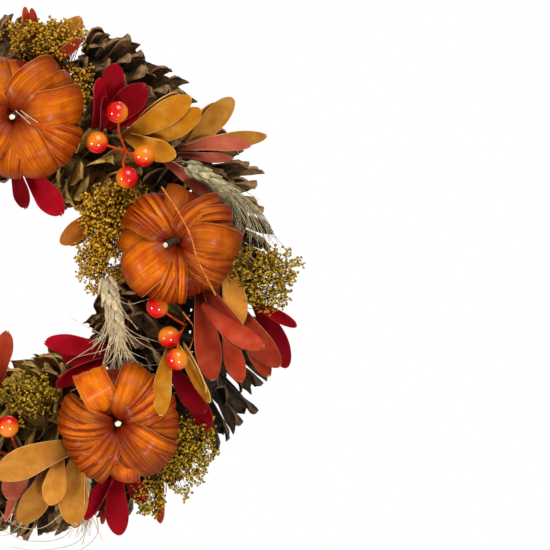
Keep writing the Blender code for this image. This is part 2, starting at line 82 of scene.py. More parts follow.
def bearing_step(bearing, length):
    """A step seen from the front, at degrees anticlockwise from rightwards."""
    turn = math.radians(bearing)
    return Vector((math.cos(turn), 0.0, math.sin(turn))) * length


def ring_point(radius, turn, depth):
    """A point round the wreath's centre line, this far in front of the door."""
    return CENTRE + Vector((radius * math.cos(turn), -depth, radius * math.sin(turn)))


def away_from_centre(place):
    """The way from the wreath's centre line to a place, seen from the front."""
    return Vector((place.x - CENTRE.x, 0.0, place.z - CENTRE.z))


def ring_foot(away):
    """Where a pick enters the ring's front, in this direction from the centre."""
    foot = CENTRE + away.normalized() * RING_MIDDLE
    foot.y = RING_LOW.y
    return foot


def mirrored(across, up, turn):
    """A place in mm mirrored across the wreath, then turned by degrees about its centre."""
    cosine, sine = math.cos(math.radians(turn)), math.sin(math.radians(turn))
    return -across * cosine - up * sine, -across * sine + up * cosine


def jitter(chance, reach):
    """A small random step in any direction."""
    return Vector([chance.uniform(-1, 1) for _ in range(3)]) * reach


# ---- Handling pieces -----------------------------------------------------------------------

def only(*pieces):
    """Leave just these pieces selected, the first one active."""
    bpy.ops.object.select_all(action='DESELECT')
    for piece in pieces:
        piece.select_set(True)
    bpy.context.view_layer.objects.active = pieces[0]


def primitive(kind, **settings):
    """Add one of Blender's primitives with nothing else selected."""
    bpy.ops.object.select_all(action='DESELECT')
    getattr(bpy.ops.mesh, f"primitive_{kind}_add")(**settings)
    return bpy.context.object


def apply_modifiers(piece):
    only(piece)
    for modifier in list(piece.modifiers):
        bpy.ops.object.modifier_apply(modifier=modifier.name)


def joined(pieces, name):
    """One piece from several, its place in its mesh."""
    if len(pieces) > 1:
        only(*pieces)
        bpy.ops.object.join()
    piece = pieces[0]
    only(piece)
    bpy.ops.object.transform_apply(location=True, rotation=True, scale=True)
    piece.name = name
    piece.data.name = name
    return piece


def copied(piece, place):
    """A copy with its own mesh, moved by a matrix that goes into the mesh."""
    twin = piece.copy()
    twin.data = piece.data.copy()
    twin.data.transform(place)
    bpy.context.scene.collection.objects.link(twin)
    return twin


def give_value(piece, name, values):
    """Store a number on each point, either one for all or a list."""
    layer = piece.data.attributes.get(name) or piece.data.attributes.new(name, 'FLOAT', 'POINT')
    count = len(piece.data.vertices)
    layer.data.foreach_set("value", values if isinstance(values, list) else [values] * count)


def smooth(piece, angle=40.0):
    """Shade smooth, apart from edges sharper than this many degrees."""
    only(piece)
    bpy.ops.object.shade_smooth_by_angle(angle=math.radians(angle))


def finished(piece, look, cad_node=None, body=WREATH_BODY):
    """Dress a piece, fasten it to its body and let it stand for its CAD node, if it has one."""
    piece.data.materials.clear()
    piece.data.materials.append(finish(look))
    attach(piece, body)
    if cad_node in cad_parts:
        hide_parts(cad_node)


def forget(piece):
    """Remove a master once its copies are made."""
    mesh = piece.data
    bpy.data.objects.remove(piece)
    bpy.data.meshes.remove(mesh)


# ---- Blades: petals, husk strips and cone scales ---------------------------------------------

# Where the tear at a frayed tip starts along the strip, and how close its teeth are
TORN_FROM = 0.875
TORN_WAVES = 5.3


def blade(path, half_widths, sections, rolls, thickness, columns, refine=0, fray=0.0):
    """Thin curved strip along a path, as a wood curl or husk is.

    path: points; half_widths: one a point; sections: function of (share across, share along)
    giving the height off the path; rolls: turn of the strip about its path, one a point;
    fray: how far the torn end's teeth reach.
    """
    rows = len(path) - 1
    frames = []
    carried = (path[-1] - path[0]).cross(FORWARD)
    for row in range(rows + 1):
        run = (path[min(row + 1, rows)] - path[max(row - 1, 0)]).normalized()
        carried = (carried - run * carried.dot(run)).normalized()
        side = Matrix.Rotation(rolls[row], 3, run) @ carried
        frames.append((side, side.cross(run), run))
    piece = primitive("grid", x_subdivisions=columns, y_subdivisions=rows, size=1.0)
    for vertex in piece.data.vertices:
        across = 2.0 * vertex.co.x
        along = vertex.co.y + 0.5
        row = round(along * rows)
        side, face, run = frames[row]
        near_tip = max(0.0, along - TORN_FROM) / (1.0 - TORN_FROM)
        torn = fray * near_tip * math.sin(TORN_WAVES * across + 1.0)
        vertex.co = (path[row] + side * across * half_widths[row]
                     + face * sections(across, along) + run * torn)
    thicken = piece.modifiers.new("thickness", 'SOLIDIFY')
    thicken.thickness = thickness
    thicken.offset = 0.0
    thicken.use_even_offset = False
    if refine:
        refined = piece.modifiers.new("refine", 'SUBSURF')
        refined.levels = refine
        refined.render_levels = refine
    apply_modifiers(piece)
    return piece


# ---- Finishes ------------------------------------------------------------------------------

def node(tree, kind, inputs=None, **settings):
    """Add a shader node; inputs are numbers, colours or sockets to link from."""
    made = tree.nodes.new(kind)
    for name, value in settings.items():
        setattr(made, name, value)
    for name, value in (inputs or {}).items():
        if isinstance(value, bpy.types.NodeSocket):
            tree.links.new(value, made.inputs[name])
        else:
            made.inputs[name].default_value = value
    return made


def ramp(tree, share, stops):
    """Colour ramp over (position, colour) stops."""
    made = node(tree, "ShaderNodeValToRGB", {"Fac": share})
    elements = made.color_ramp.elements
    while len(elements) < len(stops):
        elements.new(0.5)
    for element, (position, colour) in zip(elements, stops):
        element.position = position
        element.color = (*colour, 1.0)
    return made.outputs["Color"]


def grey(*levels):
    """Ramp stops in even steps from (position, level) pairs."""
    return [(position, (level, level, level)) for position, level in levels]


def object_place(tree):
    return node(tree, "ShaderNodeTexCoord").outputs["Object"]


def noise_of(tree, where, scale, detail=3.0, roughness=0.55):
    made = node(tree, "ShaderNodeTexNoise",
                {"Vector": where, "Scale": scale, "Detail": detail, "Roughness": roughness})
    return made.outputs["Fac"]


def mixed(tree, share, first, second, way='MIX'):
    made = node(tree, "ShaderNodeMix", data_type='RGBA', blend_type=way)
    for socket, value in ((made.inputs[0], share), (made.inputs[6], first), (made.inputs[7], second)):
        if isinstance(value, bpy.types.NodeSocket):
            tree.links.new(value, socket)
        elif isinstance(value, float):
            socket.default_value = value
        else:
            socket.default_value = (*value, 1.0)
    return made.outputs[2]


def shaded(tree, colour, share, *levels):
    """The colour times a grey ramp over a share."""
    return mixed(tree, 1.0, colour, ramp(tree, share, grey(*levels)), 'MULTIPLY')


def stained_or_shaded(tree, colour, share, stain_or_shade, *levels):
    """The colour mixed towards another colour, a real stain or a painted shade, by a grey ramp over a
    share.
    """
    return mixed(tree, ramp(tree, share, grey(*levels)), colour, stain_or_shade)


def maths(tree, way, first, second=0.0, third=0.0):
    made = node(tree, "ShaderNodeMath", {0: first, 1: second, 2: third}, operation=way)
    return made.outputs[0]


def attribute(tree, name):
    return node(tree, "ShaderNodeAttribute", attribute_name=name).outputs["Fac"]


# How far a strip's tone, from 0 to 1, moves its grain, so that no two strips look alike
TONE_SHIFTS = {"X": 37.0, "Y": 91.0}


def strip_place(tree, stretch):
    """The piece's own UV, its tone, and that UV stretched along the grain and shifted by the tone."""
    uv = node(tree, "ShaderNodeTexCoord").outputs["UV"]
    tone = attribute(tree, "tone")
    shift = node(tree, "ShaderNodeCombineXYZ", {
        axis: maths(tree, 'MULTIPLY', tone, reach) for axis, reach in TONE_SHIFTS.items()})
    moved = node(tree, "ShaderNodeVectorMath", {0: uv, 1: shift.outputs[0]}, operation='ADD')
    return uv, tone, node(tree, "ShaderNodeMapping",
                          {"Vector": moved.outputs[0], "Scale": stretch}).outputs[0]


def edge_share(tree, uv):
    """0 in a strip's middle, rising to 1 at its sides and its tip."""
    parts = node(tree, "ShaderNodeSeparateXYZ", {"Vector": uv})
    side = maths(tree, 'ABSOLUTE', maths(tree, 'MULTIPLY_ADD', parts.outputs["X"], 2.0, -1.0))
    return maths(tree, 'MAXIMUM', side, parts.outputs["Y"]), parts.outputs["Y"]


def bumped(tree, shader, height, distance, strength=1.0):
    bump = node(tree, "ShaderNodeBump",
                {"Height": height, "Distance": distance, "Strength": strength})
    tree.links.new(bump.outputs["Normal"], shader.inputs["Normal"])


def new_material(name, roughness, **sockets):
    material = bpy.data.materials.new(name)
    material.use_nodes = True
    shader = material.node_tree.nodes["Principled BSDF"]
    shader.inputs["Roughness"].default_value = roughness
    for socket, value in sockets.items():
        shader.inputs[socket.replace("_", " ")].default_value = value
    return material, material.node_tree, shader


def wood_curl(name, dark, main, light, edge):
    """Dyed wood shaving: fine lengthwise grain, mottled dye, painted shade towards its root, paler cut
    edges.
    """
    material, tree, shader = new_material(name, 0.7, Specular_IOR_Level=0.06)
    uv, tone, grain_place = strip_place(tree, (30.0, 2.0, 1.0))
    grain = noise_of(tree, grain_place, 1.6, 5.0, 0.65)
    blotch = noise_of(tree, object_place(tree), 130.0, 3.0)
    colour = ramp(tree, blotch, [(0.16, dark), (0.50, main), (0.78, light)])
    colour = mixed(tree, 0.4, colour, ramp(tree, grain, [(0.3, dark), (0.55, main), (0.75, light)]))
    colour = shaded(tree, colour, tone, (0.0, 0.64), (1.0, 1.32))
    edge_at, along = edge_share(tree, uv)
    # Painted shade: the petal darkens towards its root, where the petals crowd under one another
    colour = shaded(tree, colour, along, (0.0, 0.5), (0.35, 1.0))
    colour = stained_or_shaded(tree, colour, edge_at, edge, (0.955, 0.0), (0.99, 0.6))
    tree.links.new(colour, shader.inputs["Base Color"])
    bumped(tree, shader, grain, 0.0004, 0.5)
    return material


def husk_strip():
    """Varnished orange husk: strong lengthwise grain, with painted red-brown shade in the dimple, at the
    rim, underneath, on sunken strips, in pleat valleys and along the sides.
    """
    material, tree, shader = new_material("husk_orange", 0.30, Specular_IOR_Level=0.07,
                                          Coat_Weight=0.10, Coat_Roughness=0.24)
    uv, tone, grain_place = strip_place(tree, (22.0, 1.0, 1.0))
    grain = noise_of(tree, grain_place, 2.0, 6.0, 0.72)
    broad = noise_of(tree, grain_place, 0.30, 2.0)
    colour = ramp(tree, broad, [(0.32, (0.44, 0.052, 0.001)), (0.50, (0.66, 0.126, 0.001)),
                                (0.66, (0.80, 0.225, 0.001))])
    streaks = ramp(tree, grain, [(0.32, (0.15, 0.010, 0.001)), (0.46, (0.55, 0.090, 0.001)),
                                 (0.64, (0.92, 0.29, 0.002))])
    colour = mixed(tree, 0.66, colour, streaks)
    # Painted shade: thin dark crease lines over the grain, stronger on pleated strips
    creases = noise_of(tree, grain_place, 0.34, 1.0)
    crease_shade_lines = ramp(tree, creases, grey((0.465, 0.0), (0.495, 1.0), (0.505, 1.0), (0.535, 0.0)))
    pleated = ramp(tree, attribute(tree, "pleats"), grey((0.0, 0.20), (0.5, 1.0)))
    colour = mixed(tree, mixed(tree, 1.0, crease_shade_lines, pleated, 'MULTIPLY'), colour, (0.13, 0.008, 0.001))
    where = object_place(tree)
    blots = noise_of(tree, where, 110.0, 3.0)
    colour = stained_or_shaded(tree, colour, blots, (0.38, 0.030, 0.001), (0.46, 0.0), (0.66, 0.60))
    specks = noise_of(tree, where, 900.0, 2.0)
    colour = stained_or_shaded(tree, colour, specks, (0.16, 0.02, 0.002), (0.27, 0.7), (0.34, 0.0))
    # Each strip's tone: random, with painted shade on sunken strips and painted light over the top
    # pumpkin
    colour = shaded(tree, colour, tone, (0.0, 0.66), (1.0, 1.38))
    # Painted shade: red-brown darkening in the dimple, at the rim, underneath, on sunken strips, in
    # pleat valleys and along the sides
    painted_shade = attribute(tree, "painted_shade")
    colour = stained_or_shaded(tree, colour, painted_shade, (0.17, 0.010, 0.001), (0.0, 0.0), (0.35, 0.45), (1.0, 0.95))
    edge_at, _ = edge_share(tree, uv)
    # Painted shadow: dark bands along the strip's sides, where it lies against its neighbours
    colour = stained_or_shaded(tree, colour, edge_at, (0.22, 0.016, 0.001), (0.74, 0.0), (0.94, 0.50))
    colour = stained_or_shaded(tree, colour, edge_at, (0.80, 0.27, 0.03), (0.955, 0.0), (0.985, 0.55))
    tree.links.new(colour, shader.inputs["Base Color"])
    bumped(tree, shader, mixed(tree, 0.4, grain, broad), 0.0010, 0.8)
    return material


def cone_scale_finish(name, shade):
    """Dry pine scale: painted shade darkening it towards its root, deep between the scales; brown
    outwards, weathered pale lip.
    """
    material, tree, shader = new_material(name, 0.72, Specular_IOR_Level=0.18)
    uv, tone, grain_place = strip_place(tree, (7.0, 1.6, 1.0))
    grain = noise_of(tree, grain_place, 2.4, 5.0, 0.7)
    where = object_place(tree)
    blotch = noise_of(tree, where, 330.0, 4.0, 0.65)
    low = tuple(0.30 * value for value in shade)
    high = tuple(min(1.0, 1.9 * value) for value in shade)
    colour = ramp(tree, blotch, [(0.32, low), (0.52, shade), (0.72, high)])
    colour = stained_or_shaded(tree, colour, grain, low, (0.35, 0.0), (0.7, 0.6))
    colour = shaded(tree, colour, tone, (0.0, 0.60), (1.0, 1.30))
    edge_at, along = edge_share(tree, uv)
    # Painted shade: the scale darkens towards its root, deep in the gaps between the scales
    colour = shaded(tree, colour, along, (0.08, 0.10), (0.50, 1.0))
    pale = tuple(min(1.0, 2.6 * value + 0.02) for value in shade)
    colour = stained_or_shaded(tree, colour, edge_at, pale, (0.84, 0.0), (1.0, 0.40))
    tree.links.new(colour, shader.inputs["Base Color"])
    bumped(tree, shader, mixed(tree, 0.5, grain, blotch), 0.0012, 0.8)
    return material


def berry_finish():
    """Lacquered berry, red on one cheek and orange on the other."""
    material, tree, shader = new_material("berry", 0.20, Specular_IOR_Level=0.3,
                                          Coat_Weight=0.6, Coat_Roughness=0.05)
    where = object_place(tree)
    wander = noise_of(tree, where, 160.0, 2.0)
    cheek = maths(tree, 'ADD', attribute(tree, "blush"),
                  maths(tree, 'MULTIPLY', maths(tree, 'SUBTRACT', wander, 0.5), 0.35))
    colour = ramp(tree, cheek, [(0.28, (0.62, 0.004, 0.002)), (0.44, (0.68, 0.022, 0.002)),
                                (0.56, (0.72, 0.10, 0.003)), (0.78, (0.76, 0.20, 0.006))])
    tree.links.new(colour, shader.inputs["Base Color"])
    bumped(tree, shader, noise_of(tree, where, 420.0, 1.0), 0.00008, 0.5)
    return material


def speckled(name, roughness, scale, bump, *stops):
    """Plain dry finish: colours over noise, varied by each part's tone."""
    material, tree, shader = new_material(name, roughness, Specular_IOR_Level=0.18)
    blotch = noise_of(tree, object_place(tree), scale, 4.0, 0.6)
    colour = ramp(tree, blotch, stops)
    colour = shaded(tree, colour, attribute(tree, "tone"), (0.0, 0.6), (1.0, 1.3))
    tree.links.new(colour, shader.inputs["Base Color"])
    bumped(tree, shader, blotch, bump, 0.7)
    return material


def bark():
    """Vine bark: ridged and dusty, its brown painted near black as shade for the gaps in the dressing.
    """
    material, tree, shader = new_material("vine", 0.85, Specular_IOR_Level=0.2)
    where = object_place(tree)
    coarse = noise_of(tree, where, 220.0, 6.0, 0.7)
    fine = noise_of(tree, where, 1400.0, 3.0)
    # Painted shade: the bark's browns are darkened to near black so that the ring reads as shade between
    # the dressing
    colour = ramp(tree, coarse, [(0.30, (0.014, 0.007, 0.004)), (0.52, (0.055, 0.030, 0.016)),
                                 (0.72, (0.13, 0.080, 0.045))])
    colour = mixed(tree, 0.25, colour, ramp(tree, fine, [(0.4, (0.05, 0.03, 0.02)),
                                                         (0.6, (0.26, 0.18, 0.11))]))
    tree.links.new(colour, shader.inputs["Base Color"])
    bumped(tree, shader, coarse, 0.0012, 0.9)
    return material


def steel_wire():
    """Galvanised wire, worn grey."""
    material, tree, shader = new_material("wire", 0.38, Metallic=1.0)
    worn = noise_of(tree, object_place(tree), 600.0, 4.0, 0.7)
    tree.links.new(ramp(tree, worn, [(0.35, (0.16, 0.15, 0.14)), (0.65, (0.42, 0.41, 0.39))]),
                   shader.inputs["Base Color"])
    tree.links.new(maths(tree, 'MULTIPLY_ADD', worn, 0.4, 0.5), shader.inputs["Roughness"])
    return material


# Each finish: its maker and what the maker is given. A wood curl takes its dark, main, light and edge
# colours; a cone its main colour; a speckled finish its roughness, noise scale, bump and ramp stops
MAKERS = {
    "crimson": (wood_curl, "petal_crimson", (0.11, 0.0004, 0.002), (0.26, 0.0008, 0.006),
                (0.35, 0.003, 0.013), (0.52, 0.09, 0.09)),
    "rust": (wood_curl, "petal_rust", (0.20, 0.010, 0.003), (0.35, 0.034, 0.011),
             (0.44, 0.080, 0.036), (0.66, 0.26, 0.13)),
    "pink": (wood_curl, "petal_pink_rust", (0.30, 0.040, 0.020), (0.50, 0.11, 0.058),
             (0.60, 0.18, 0.100), (0.70, 0.34, 0.22)),
    "gold": (wood_curl, "petal_gold", (0.36, 0.095, 0.001), (0.56, 0.200, 0.006),
             (0.76, 0.39, 0.070), (0.86, 0.62, 0.28)),
    "amber": (wood_curl, "petal_amber", (0.14, 0.030, 0.003), (0.34, 0.085, 0.008),
              (0.48, 0.16, 0.020), (0.66, 0.30, 0.09)),
    "tan": (wood_curl, "petal_tan", (0.30, 0.085, 0.006), (0.46, 0.180, 0.022),
            (0.62, 0.30, 0.070), (0.80, 0.54, 0.25)),
    "husk": (husk_strip,),
    "cone": (cone_scale_finish, "pine_cone", (0.20, 0.108, 0.044)),
    "dark_cone": (cone_scale_finish, "pine_cone_dark", (0.070, 0.042, 0.021)),
    "khaki_cone": (cone_scale_finish, "pine_cone_khaki", (0.46, 0.255, 0.060)),
    "berry": (berry_finish,),
    "berry_wire": (speckled, "berry_wire", 0.35, 500.0, 0.0003,
                   (0.35, (0.50, 0.02, 0.004)), (0.65, (0.72, 0.10, 0.01))),
    "spray": (speckled, "gold_spray", 0.55, 700.0, 0.0003, (0.30, (0.32, 0.135, 0.004)),
              (0.50, (0.57, 0.28, 0.010)), (0.68, (0.86, 0.54, 0.040))),
    "olive_spray": (speckled, "gold_spray_olive", 0.55, 700.0, 0.0003, (0.30, (0.21, 0.105, 0.004)),
                    (0.50, (0.43, 0.255, 0.009)), (0.68, (0.72, 0.50, 0.034))),
    "spray_stem": (speckled, "spray_stem", 0.7, 500.0, 0.0003,
                   (0.35, (0.08, 0.032, 0.006)), (0.65, (0.20, 0.10, 0.018))),
    "wheat": (speckled, "wheat", 0.6, 420.0, 0.0003, (0.32, (0.46, 0.33, 0.17)),
              (0.55, (0.70, 0.56, 0.34)), (0.75, (0.88, 0.77, 0.55))),
    "green_wheat": (speckled, "wheat_green", 0.6, 420.0, 0.0003, (0.32, (0.24, 0.19, 0.085)),
                    (0.55, (0.43, 0.37, 0.20)), (0.75, (0.64, 0.58, 0.38))),
    "stem": (speckled, "stem", 0.8, 700.0, 0.0003, (0.32, (0.018, 0.010, 0.006)),
             (0.55, (0.060, 0.035, 0.018)), (0.75, (0.15, 0.09, 0.05))),
    "cut_wood": (speckled, "stem_cut", 0.7, 900.0, 0.0001,
                 (0.35, (0.50, 0.42, 0.30)), (0.65, (0.82, 0.76, 0.64))),
    "fibre": (speckled, "husk_fibre", 0.45, 500.0, 0.0003,
              (0.35, (0.42, 0.07, 0.004)), (0.65, (0.78, 0.26, 0.04))),
    # painted shade: the pumpkin's hollow is near-black red-brown so that it shows as shade in the gaps
    # between the strips
    "hollow": (speckled, "pumpkin_hollow_shade", 0.8, 400.0, 0.0003,
               (0.35, (0.035, 0.005, 0.003)), (0.65, (0.14, 0.018, 0.005))),
    "vine": (bark,),
    "wire": (steel_wire,),
}
FINISHES = {}


def finish(name):
    """The named finish, made when it is first asked for."""
    if name not in FINISHES:
        maker, *values = MAKERS[name]
        FINISHES[name] = maker(*values)
    return FINISHES[name]


# ---- Vine ring and hanger --------------------------------------------------------------------

def wires(name, runs, thickness, sides=2, closed=False):
    """Round wires or vines as one mesh; a run is a list of (point, thickness share)."""
    curve = bpy.data.curves.new(name, 'CURVE')
    curve.dimensions = '3D'
    curve.bevel_depth = thickness
    curve.bevel_resolution = sides
    curve.use_fill_caps = not closed
    for run in runs:
        spline = curve.splines.new('POLY')
        spline.points.add(len(run) - 1)
        spline.use_cyclic_u = closed
        for point, (place, share) in zip(spline.points, run):
            point.co = (*place, 1.0)
            point.radius = share
    piece = bpy.data.objects.new(name, curve)
    bpy.context.scene.collection.objects.link(piece)
    only(piece)
    bpy.ops.object.convert(target='MESH')
    piece = bpy.context.object
    give_value(piece, "tone", 0.5)
    return piece


def curved(points, steps=10):
    """Smooth run through a few chosen points."""
    ends = [points[0] * 2 - points[1]] + list(points) + [points[-1] * 2 - points[-2]]
    run = []
    for index in range(1, len(ends) - 2):
        before, start, stop, after = ends[index - 1:index + 3]
        for step in range(steps):
            t = step / steps
            run.append(0.5 * (2 * start + (stop - before) * t
                              + (2 * before - 5 * start + 4 * stop - after) * t * t
                              + (3 * start - before - 3 * stop + after) * t ** 3))
    run.append(points[-1])
    return run


def tapered(points, steps, thick=1.0, loss=0.0):
    """Smooth run for a wire: its thickness share, and how much of it each next point loses."""
    return [(point, thick - loss * index) for index, point in enumerate(curved(points, steps))]


class WreathSizes(bpy.types.PropertyGroup):
    """Sizes and counts of the dressing that a user would change"""
    leaf_thickness: bpy.props.FloatProperty(
        name="Leaf thickness", description="Thickness of a wood-curl petal",
        default=0.0009, min=0.0002, max=0.003, unit='LENGTH')
    husk_thickness: bpy.props.FloatProperty(
        name="Husk thickness", description="Thickness of a pumpkin's strips",
        default=0.0007, min=0.0002, max=0.003, unit='LENGTH')
    scale_count: bpy.props.IntProperty(
        name="Cone scales", description="Scales on each pine cone", default=58, min=20, max=140)
    vine_count: bpy.props.IntProperty(
        name="Vines", description="Vines wound into the ring", default=6, min=3, max=12)
    spray_balls: bpy.props.IntProperty(
        name="Spray balls", description="Balls in a spray of middle size", default=1040,
        min=50, max=1600)
    berry_size: bpy.props.FloatProperty(
        name="Berry size", description="Diameter of a berry", default=0.0132,
        min=0.004, max=0.03, unit='LENGTH')
    awn_count: bpy.props.IntProperty(
        name="Awns", description="Bristles on a wheat ear", default=66, min=4, max=120)


def sizes():
    return bpy.context.scene.wreath_sizes


# Vines are wound round a core; thin loose ones are wound the other way round them
VINE = 0.0040
VINE_POINTS = 150
VINE_TURNS = 5
CORE_SHARE = 1.35
LOOSE_VINES = 8
LOOSE_TURNS = 4
LOOSE_SHARE = 0.50


def wound_vine(phase, turns, sway, waves, wander, spread, shares):
    """One vine round the ring: its turns, how it sways, and its thickness at each point."""
    run = []
    for step, share in enumerate(shares):
        turn = math.tau * step / VINE_POINTS
        wind = phase + turns * turn + sway * math.sin(waves * turn + wander)
        run.append((ring_point(RING_MIDDLE + (RING_HALF_WIDTH + spread) * math.cos(wind), turn,
                               RING_HALF_DEPTH + (RING_HALF_DEPTH - VINE) * math.sin(wind)), share))
    return run


class WREATH_OT_vine_ring(bpy.types.Operator):
    """Wind the vines of the base ring"""
    bl_idname = "wreath.vine_ring"
    bl_label = "Vine ring"

    def execute(self, context):
        runs = []
        chance = random.Random(3)
        for number in range(sizes().vine_count):
            phase = math.tau * number / sizes().vine_count
            wander = chance.uniform(0, math.tau)
            shares = [1.0 + 0.10 * math.sin(7 * math.tau * step / VINE_POINTS + wander)
                      for step in range(VINE_POINTS)]
            runs.append(wound_vine(phase, VINE_TURNS, 0.25, 3, wander, -VINE, shares))
        for number in range(LOOSE_VINES):
            phase = math.tau * number / LOOSE_VINES
            runs.append(wound_vine(phase, -LOOSE_TURNS, 0.6, 2, phase, 1.5 * VINE,
                                   [LOOSE_SHARE] * VINE_POINTS))
        runs.append([(ring_point(RING_MIDDLE, math.tau * step / VINE_POINTS, RING_HALF_DEPTH),
                      CORE_SHARE) for step in range(VINE_POINTS)])
        ring = wires("vine_bundle", runs, VINE, 3, closed=True)
        smooth(ring)
        finished(ring, "vine", "vine_ring")
        return {'FINISHED'}


# Thickness of the hanger's wires as radii, and the loop's corner radius
LOOP_WIRE = 0.0010
LOOP_CORNER = 0.004
STAPLE_WIRE = 0.0008


class WREATH_OT_hanger(bpy.types.Operator):
    """Bend the wire hanging loop and its staple"""
    bl_idname = "wreath.hanger"
    bl_label = "Hanging loop"

    def execute(self, context):
        low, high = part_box("hanging_loop")
        depth = (low.y + high.y) / 2
        left, right = low.x + LOOP_WIRE, high.x - LOOP_WIRE
        top, bottom = high.z - LOOP_WIRE, low.z + LOOP_WIRE
        half = (right - left) / 2
        quarter = [math.radians(90 * step / 6) for step in range(7)]
        outline = [(right - LOOP_CORNER + LOOP_CORNER * math.sin(turn),
                    top - LOOP_CORNER + LOOP_CORNER * math.cos(turn)) for turn in quarter]
        outline += [(half * math.cos(math.pi * step / 24),
                     bottom + half - half * math.sin(math.pi * step / 24)) for step in range(25)]
        outline += [(left + LOOP_CORNER - LOOP_CORNER * math.cos(turn),
                     top - LOOP_CORNER + LOOP_CORNER * math.sin(turn)) for turn in quarter]
        loop = wires("hanging_wire_loop", [[(Vector((x, depth, z)), 1.0) for x, z in outline]],
                     LOOP_WIRE, 3, closed=True)
        smooth(loop)
        finished(loop, "wire", "hanging_loop", LOOP_BODY)

        low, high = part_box("hanger_staple")
        middle = (low.z + high.z) / 2
        reach = (high.z - low.z) / 2 - STAPLE_WIRE
        bar = high.y - STAPLE_WIRE - reach
        run = [Vector((0.0, low.y, middle - reach))]
        run += [Vector((0.0, bar + reach * math.sin(math.pi * step / 12),
                        middle - reach * math.cos(math.pi * step / 12))) for step in range(13)]
        run.append(Vector((0.0, low.y, middle + reach)))
        staple = wires("hanger_wire_staple", [[(point, 1.0) for point in run]], STAPLE_WIRE, 3)
        smooth(staple)
        finished(staple, "wire", "hanger_staple")
        return {'FINISHED'}


# ---- Pine cones ----------------------------------------------------------------------------

# Each scale: half widths, heights of its middle line and ripple of its outer edge, as shares
SCALE_ALONGS = (0.0, 0.24, 0.48, 0.70, 0.86, 0.96, 1.0)
SCALE_SHAPES = (
    ((0.14, 0.26, 0.42, 0.50, 0.42, 0.24, 0.05), (0.0, 0.01, 0.03, 0.08, 0.18, 0.28, 0.32), 0.08),
    ((0.16, 0.30, 0.44, 0.50, 0.46, 0.34, 0.14), (0.0, 0.03, 0.05, 0.05, 0.08, 0.16, 0.22), -0.10),
    ((0.14, 0.24, 0.38, 0.46, 0.44, 0.22, 0.04), (0.0, -0.01, 0.0, 0.03, 0.14, 0.30, 0.38), 0.13),
)


# Where a scale's thick outer lip starts along it
LIP_FROM = 0.62


def cone_scale(widths, heights, ripple):
    """One open pine scale of unit length and width, its root at the origin, its tip along +Y."""
    rows = len(SCALE_ALONGS) - 1
    piece = primitive("grid", x_subdivisions=4, y_subdivisions=rows, size=1.0)
    for vertex in piece.data.vertices:
        across = 2.0 * vertex.co.x
        row = round((vertex.co.y + 0.5) * rows)
        along = SCALE_ALONGS[row]
        keel = 0.05 * (1.0 - abs(across)) * math.sin(math.pi * along)
        wave = ripple * math.sin(2.6 * across + 0.8) * along ** 3
        vertex.co = Vector((across * widths[row], along - 0.07 * across * across * along,
                            heights[row] + keel + wave + 0.10 * across * across * widths[row]))
    grid_count = len(piece.data.vertices)
    thicken = piece.modifiers.new("thickness", 'SOLIDIFY')
    thicken.thickness = 0.05
    thicken.offset = -1.0
    apply_modifiers(piece)
    for vertex in piece.data.vertices[grid_count:]:
        lip = max(0.0, vertex.co.y - LIP_FROM) / (1.0 - LIP_FROM)
        vertex.co.z -= 0.16 * lip
        vertex.co.y -= 0.05 * lip
    smooth(piece, 48.0)
    return piece


# Single cones that differ: degrees turned anticlockwise, and shares of the usual length and of the
# usual reach away from the ring
CONE_DIFFERENCES = {
    "outer_cone_01": (-2.0, 1.22, 1.05),
    "outer_cone_02": (-1.0, 1.16, 1.10),
    "outer_cone_03": (2.0, 1.20, 1.40),
    "outer_cone_04": (0.0, 1.16, 1.42),
    "outer_cone_05": (0.0, 1.05, 1.30),
    "outer_cone_06": (0.0, 1.00, 1.12),
    "outer_cone_07": (0.0, 1.00, 1.10),
    "outer_cone_08": (0.0, 1.00, 1.12),
    "outer_cone_10": (0.0, 1.10, 1.10),
    "inner_cone_01": (-2.0, 1.10, 1.00),
    "inner_cone_03": (0.0, 1.15, 1.20),
}
CONE_LOOKS = {"outer_cone_04": "dark_cone", "outer_cone_05": "dark_cone",
              "outer_cone_09": "dark_cone", "inner_cone_01": "khaki_cone",
              "inner_cone_03": "khaki_cone", "inner_cone_05": "khaki_cone"}
# Each kind of cone: how far it lies over the ring, and its thickness as a share of its solid's and
# its length as a share of its radius
CONE_KINDS = {"outer": (0.004, 1.0, 3.4), "inner": (0.006, 1.12, 2.9)}
# Scales standing in a row along a cone's free side, how far they fan forward and back, and their
# width and length as shares of the others'
RIM_SCALES = 12
RIM_FAN = 0.42
RIM_NARROW = 0.66
RIM_LONGER = 1.14
# Roots of the scales: their distance from the axis as a share of the radius, and the height of the
# first and their climb as shares of the length
ROOT_RADIUS = 0.14
ROOT_START = -0.42
ROOT_CLIMB = 0.78
# A scale's width beside its cone's base and what it loses by the tip, as shares of the radius, and
# the height of its curl; its lean at the base and how far it closes by the tip, in degrees
SCALE_WIDTH = 0.62
SCALE_NARROWING = 0.17
SCALE_CURL = 0.62
SCALE_LEAN = 96.0
SCALE_CLOSING = 56.0
# The core's half thickness and half length, as shares of the cone's radius and length
CORE_HALVES = (0.42, 0.43)
# How much longer the scales that lie over the ring are, and how much wider a khaki cone's are
OVER_RING = 1.15
KHAKI_WIDER = 1.3


# Room left between the cones and the door
DOOR_GAP = 0.0005


def cone_reach(along):
    """Cone's outline: half thickness as a share, along from its base (0) to its tip (1)."""
    if along < 0.35:
        return 0.82 + 1.0 * along - 1.3 * along * along
    return 1.0 - 0.66 * ((along - 0.35) / 0.65) ** 2.4


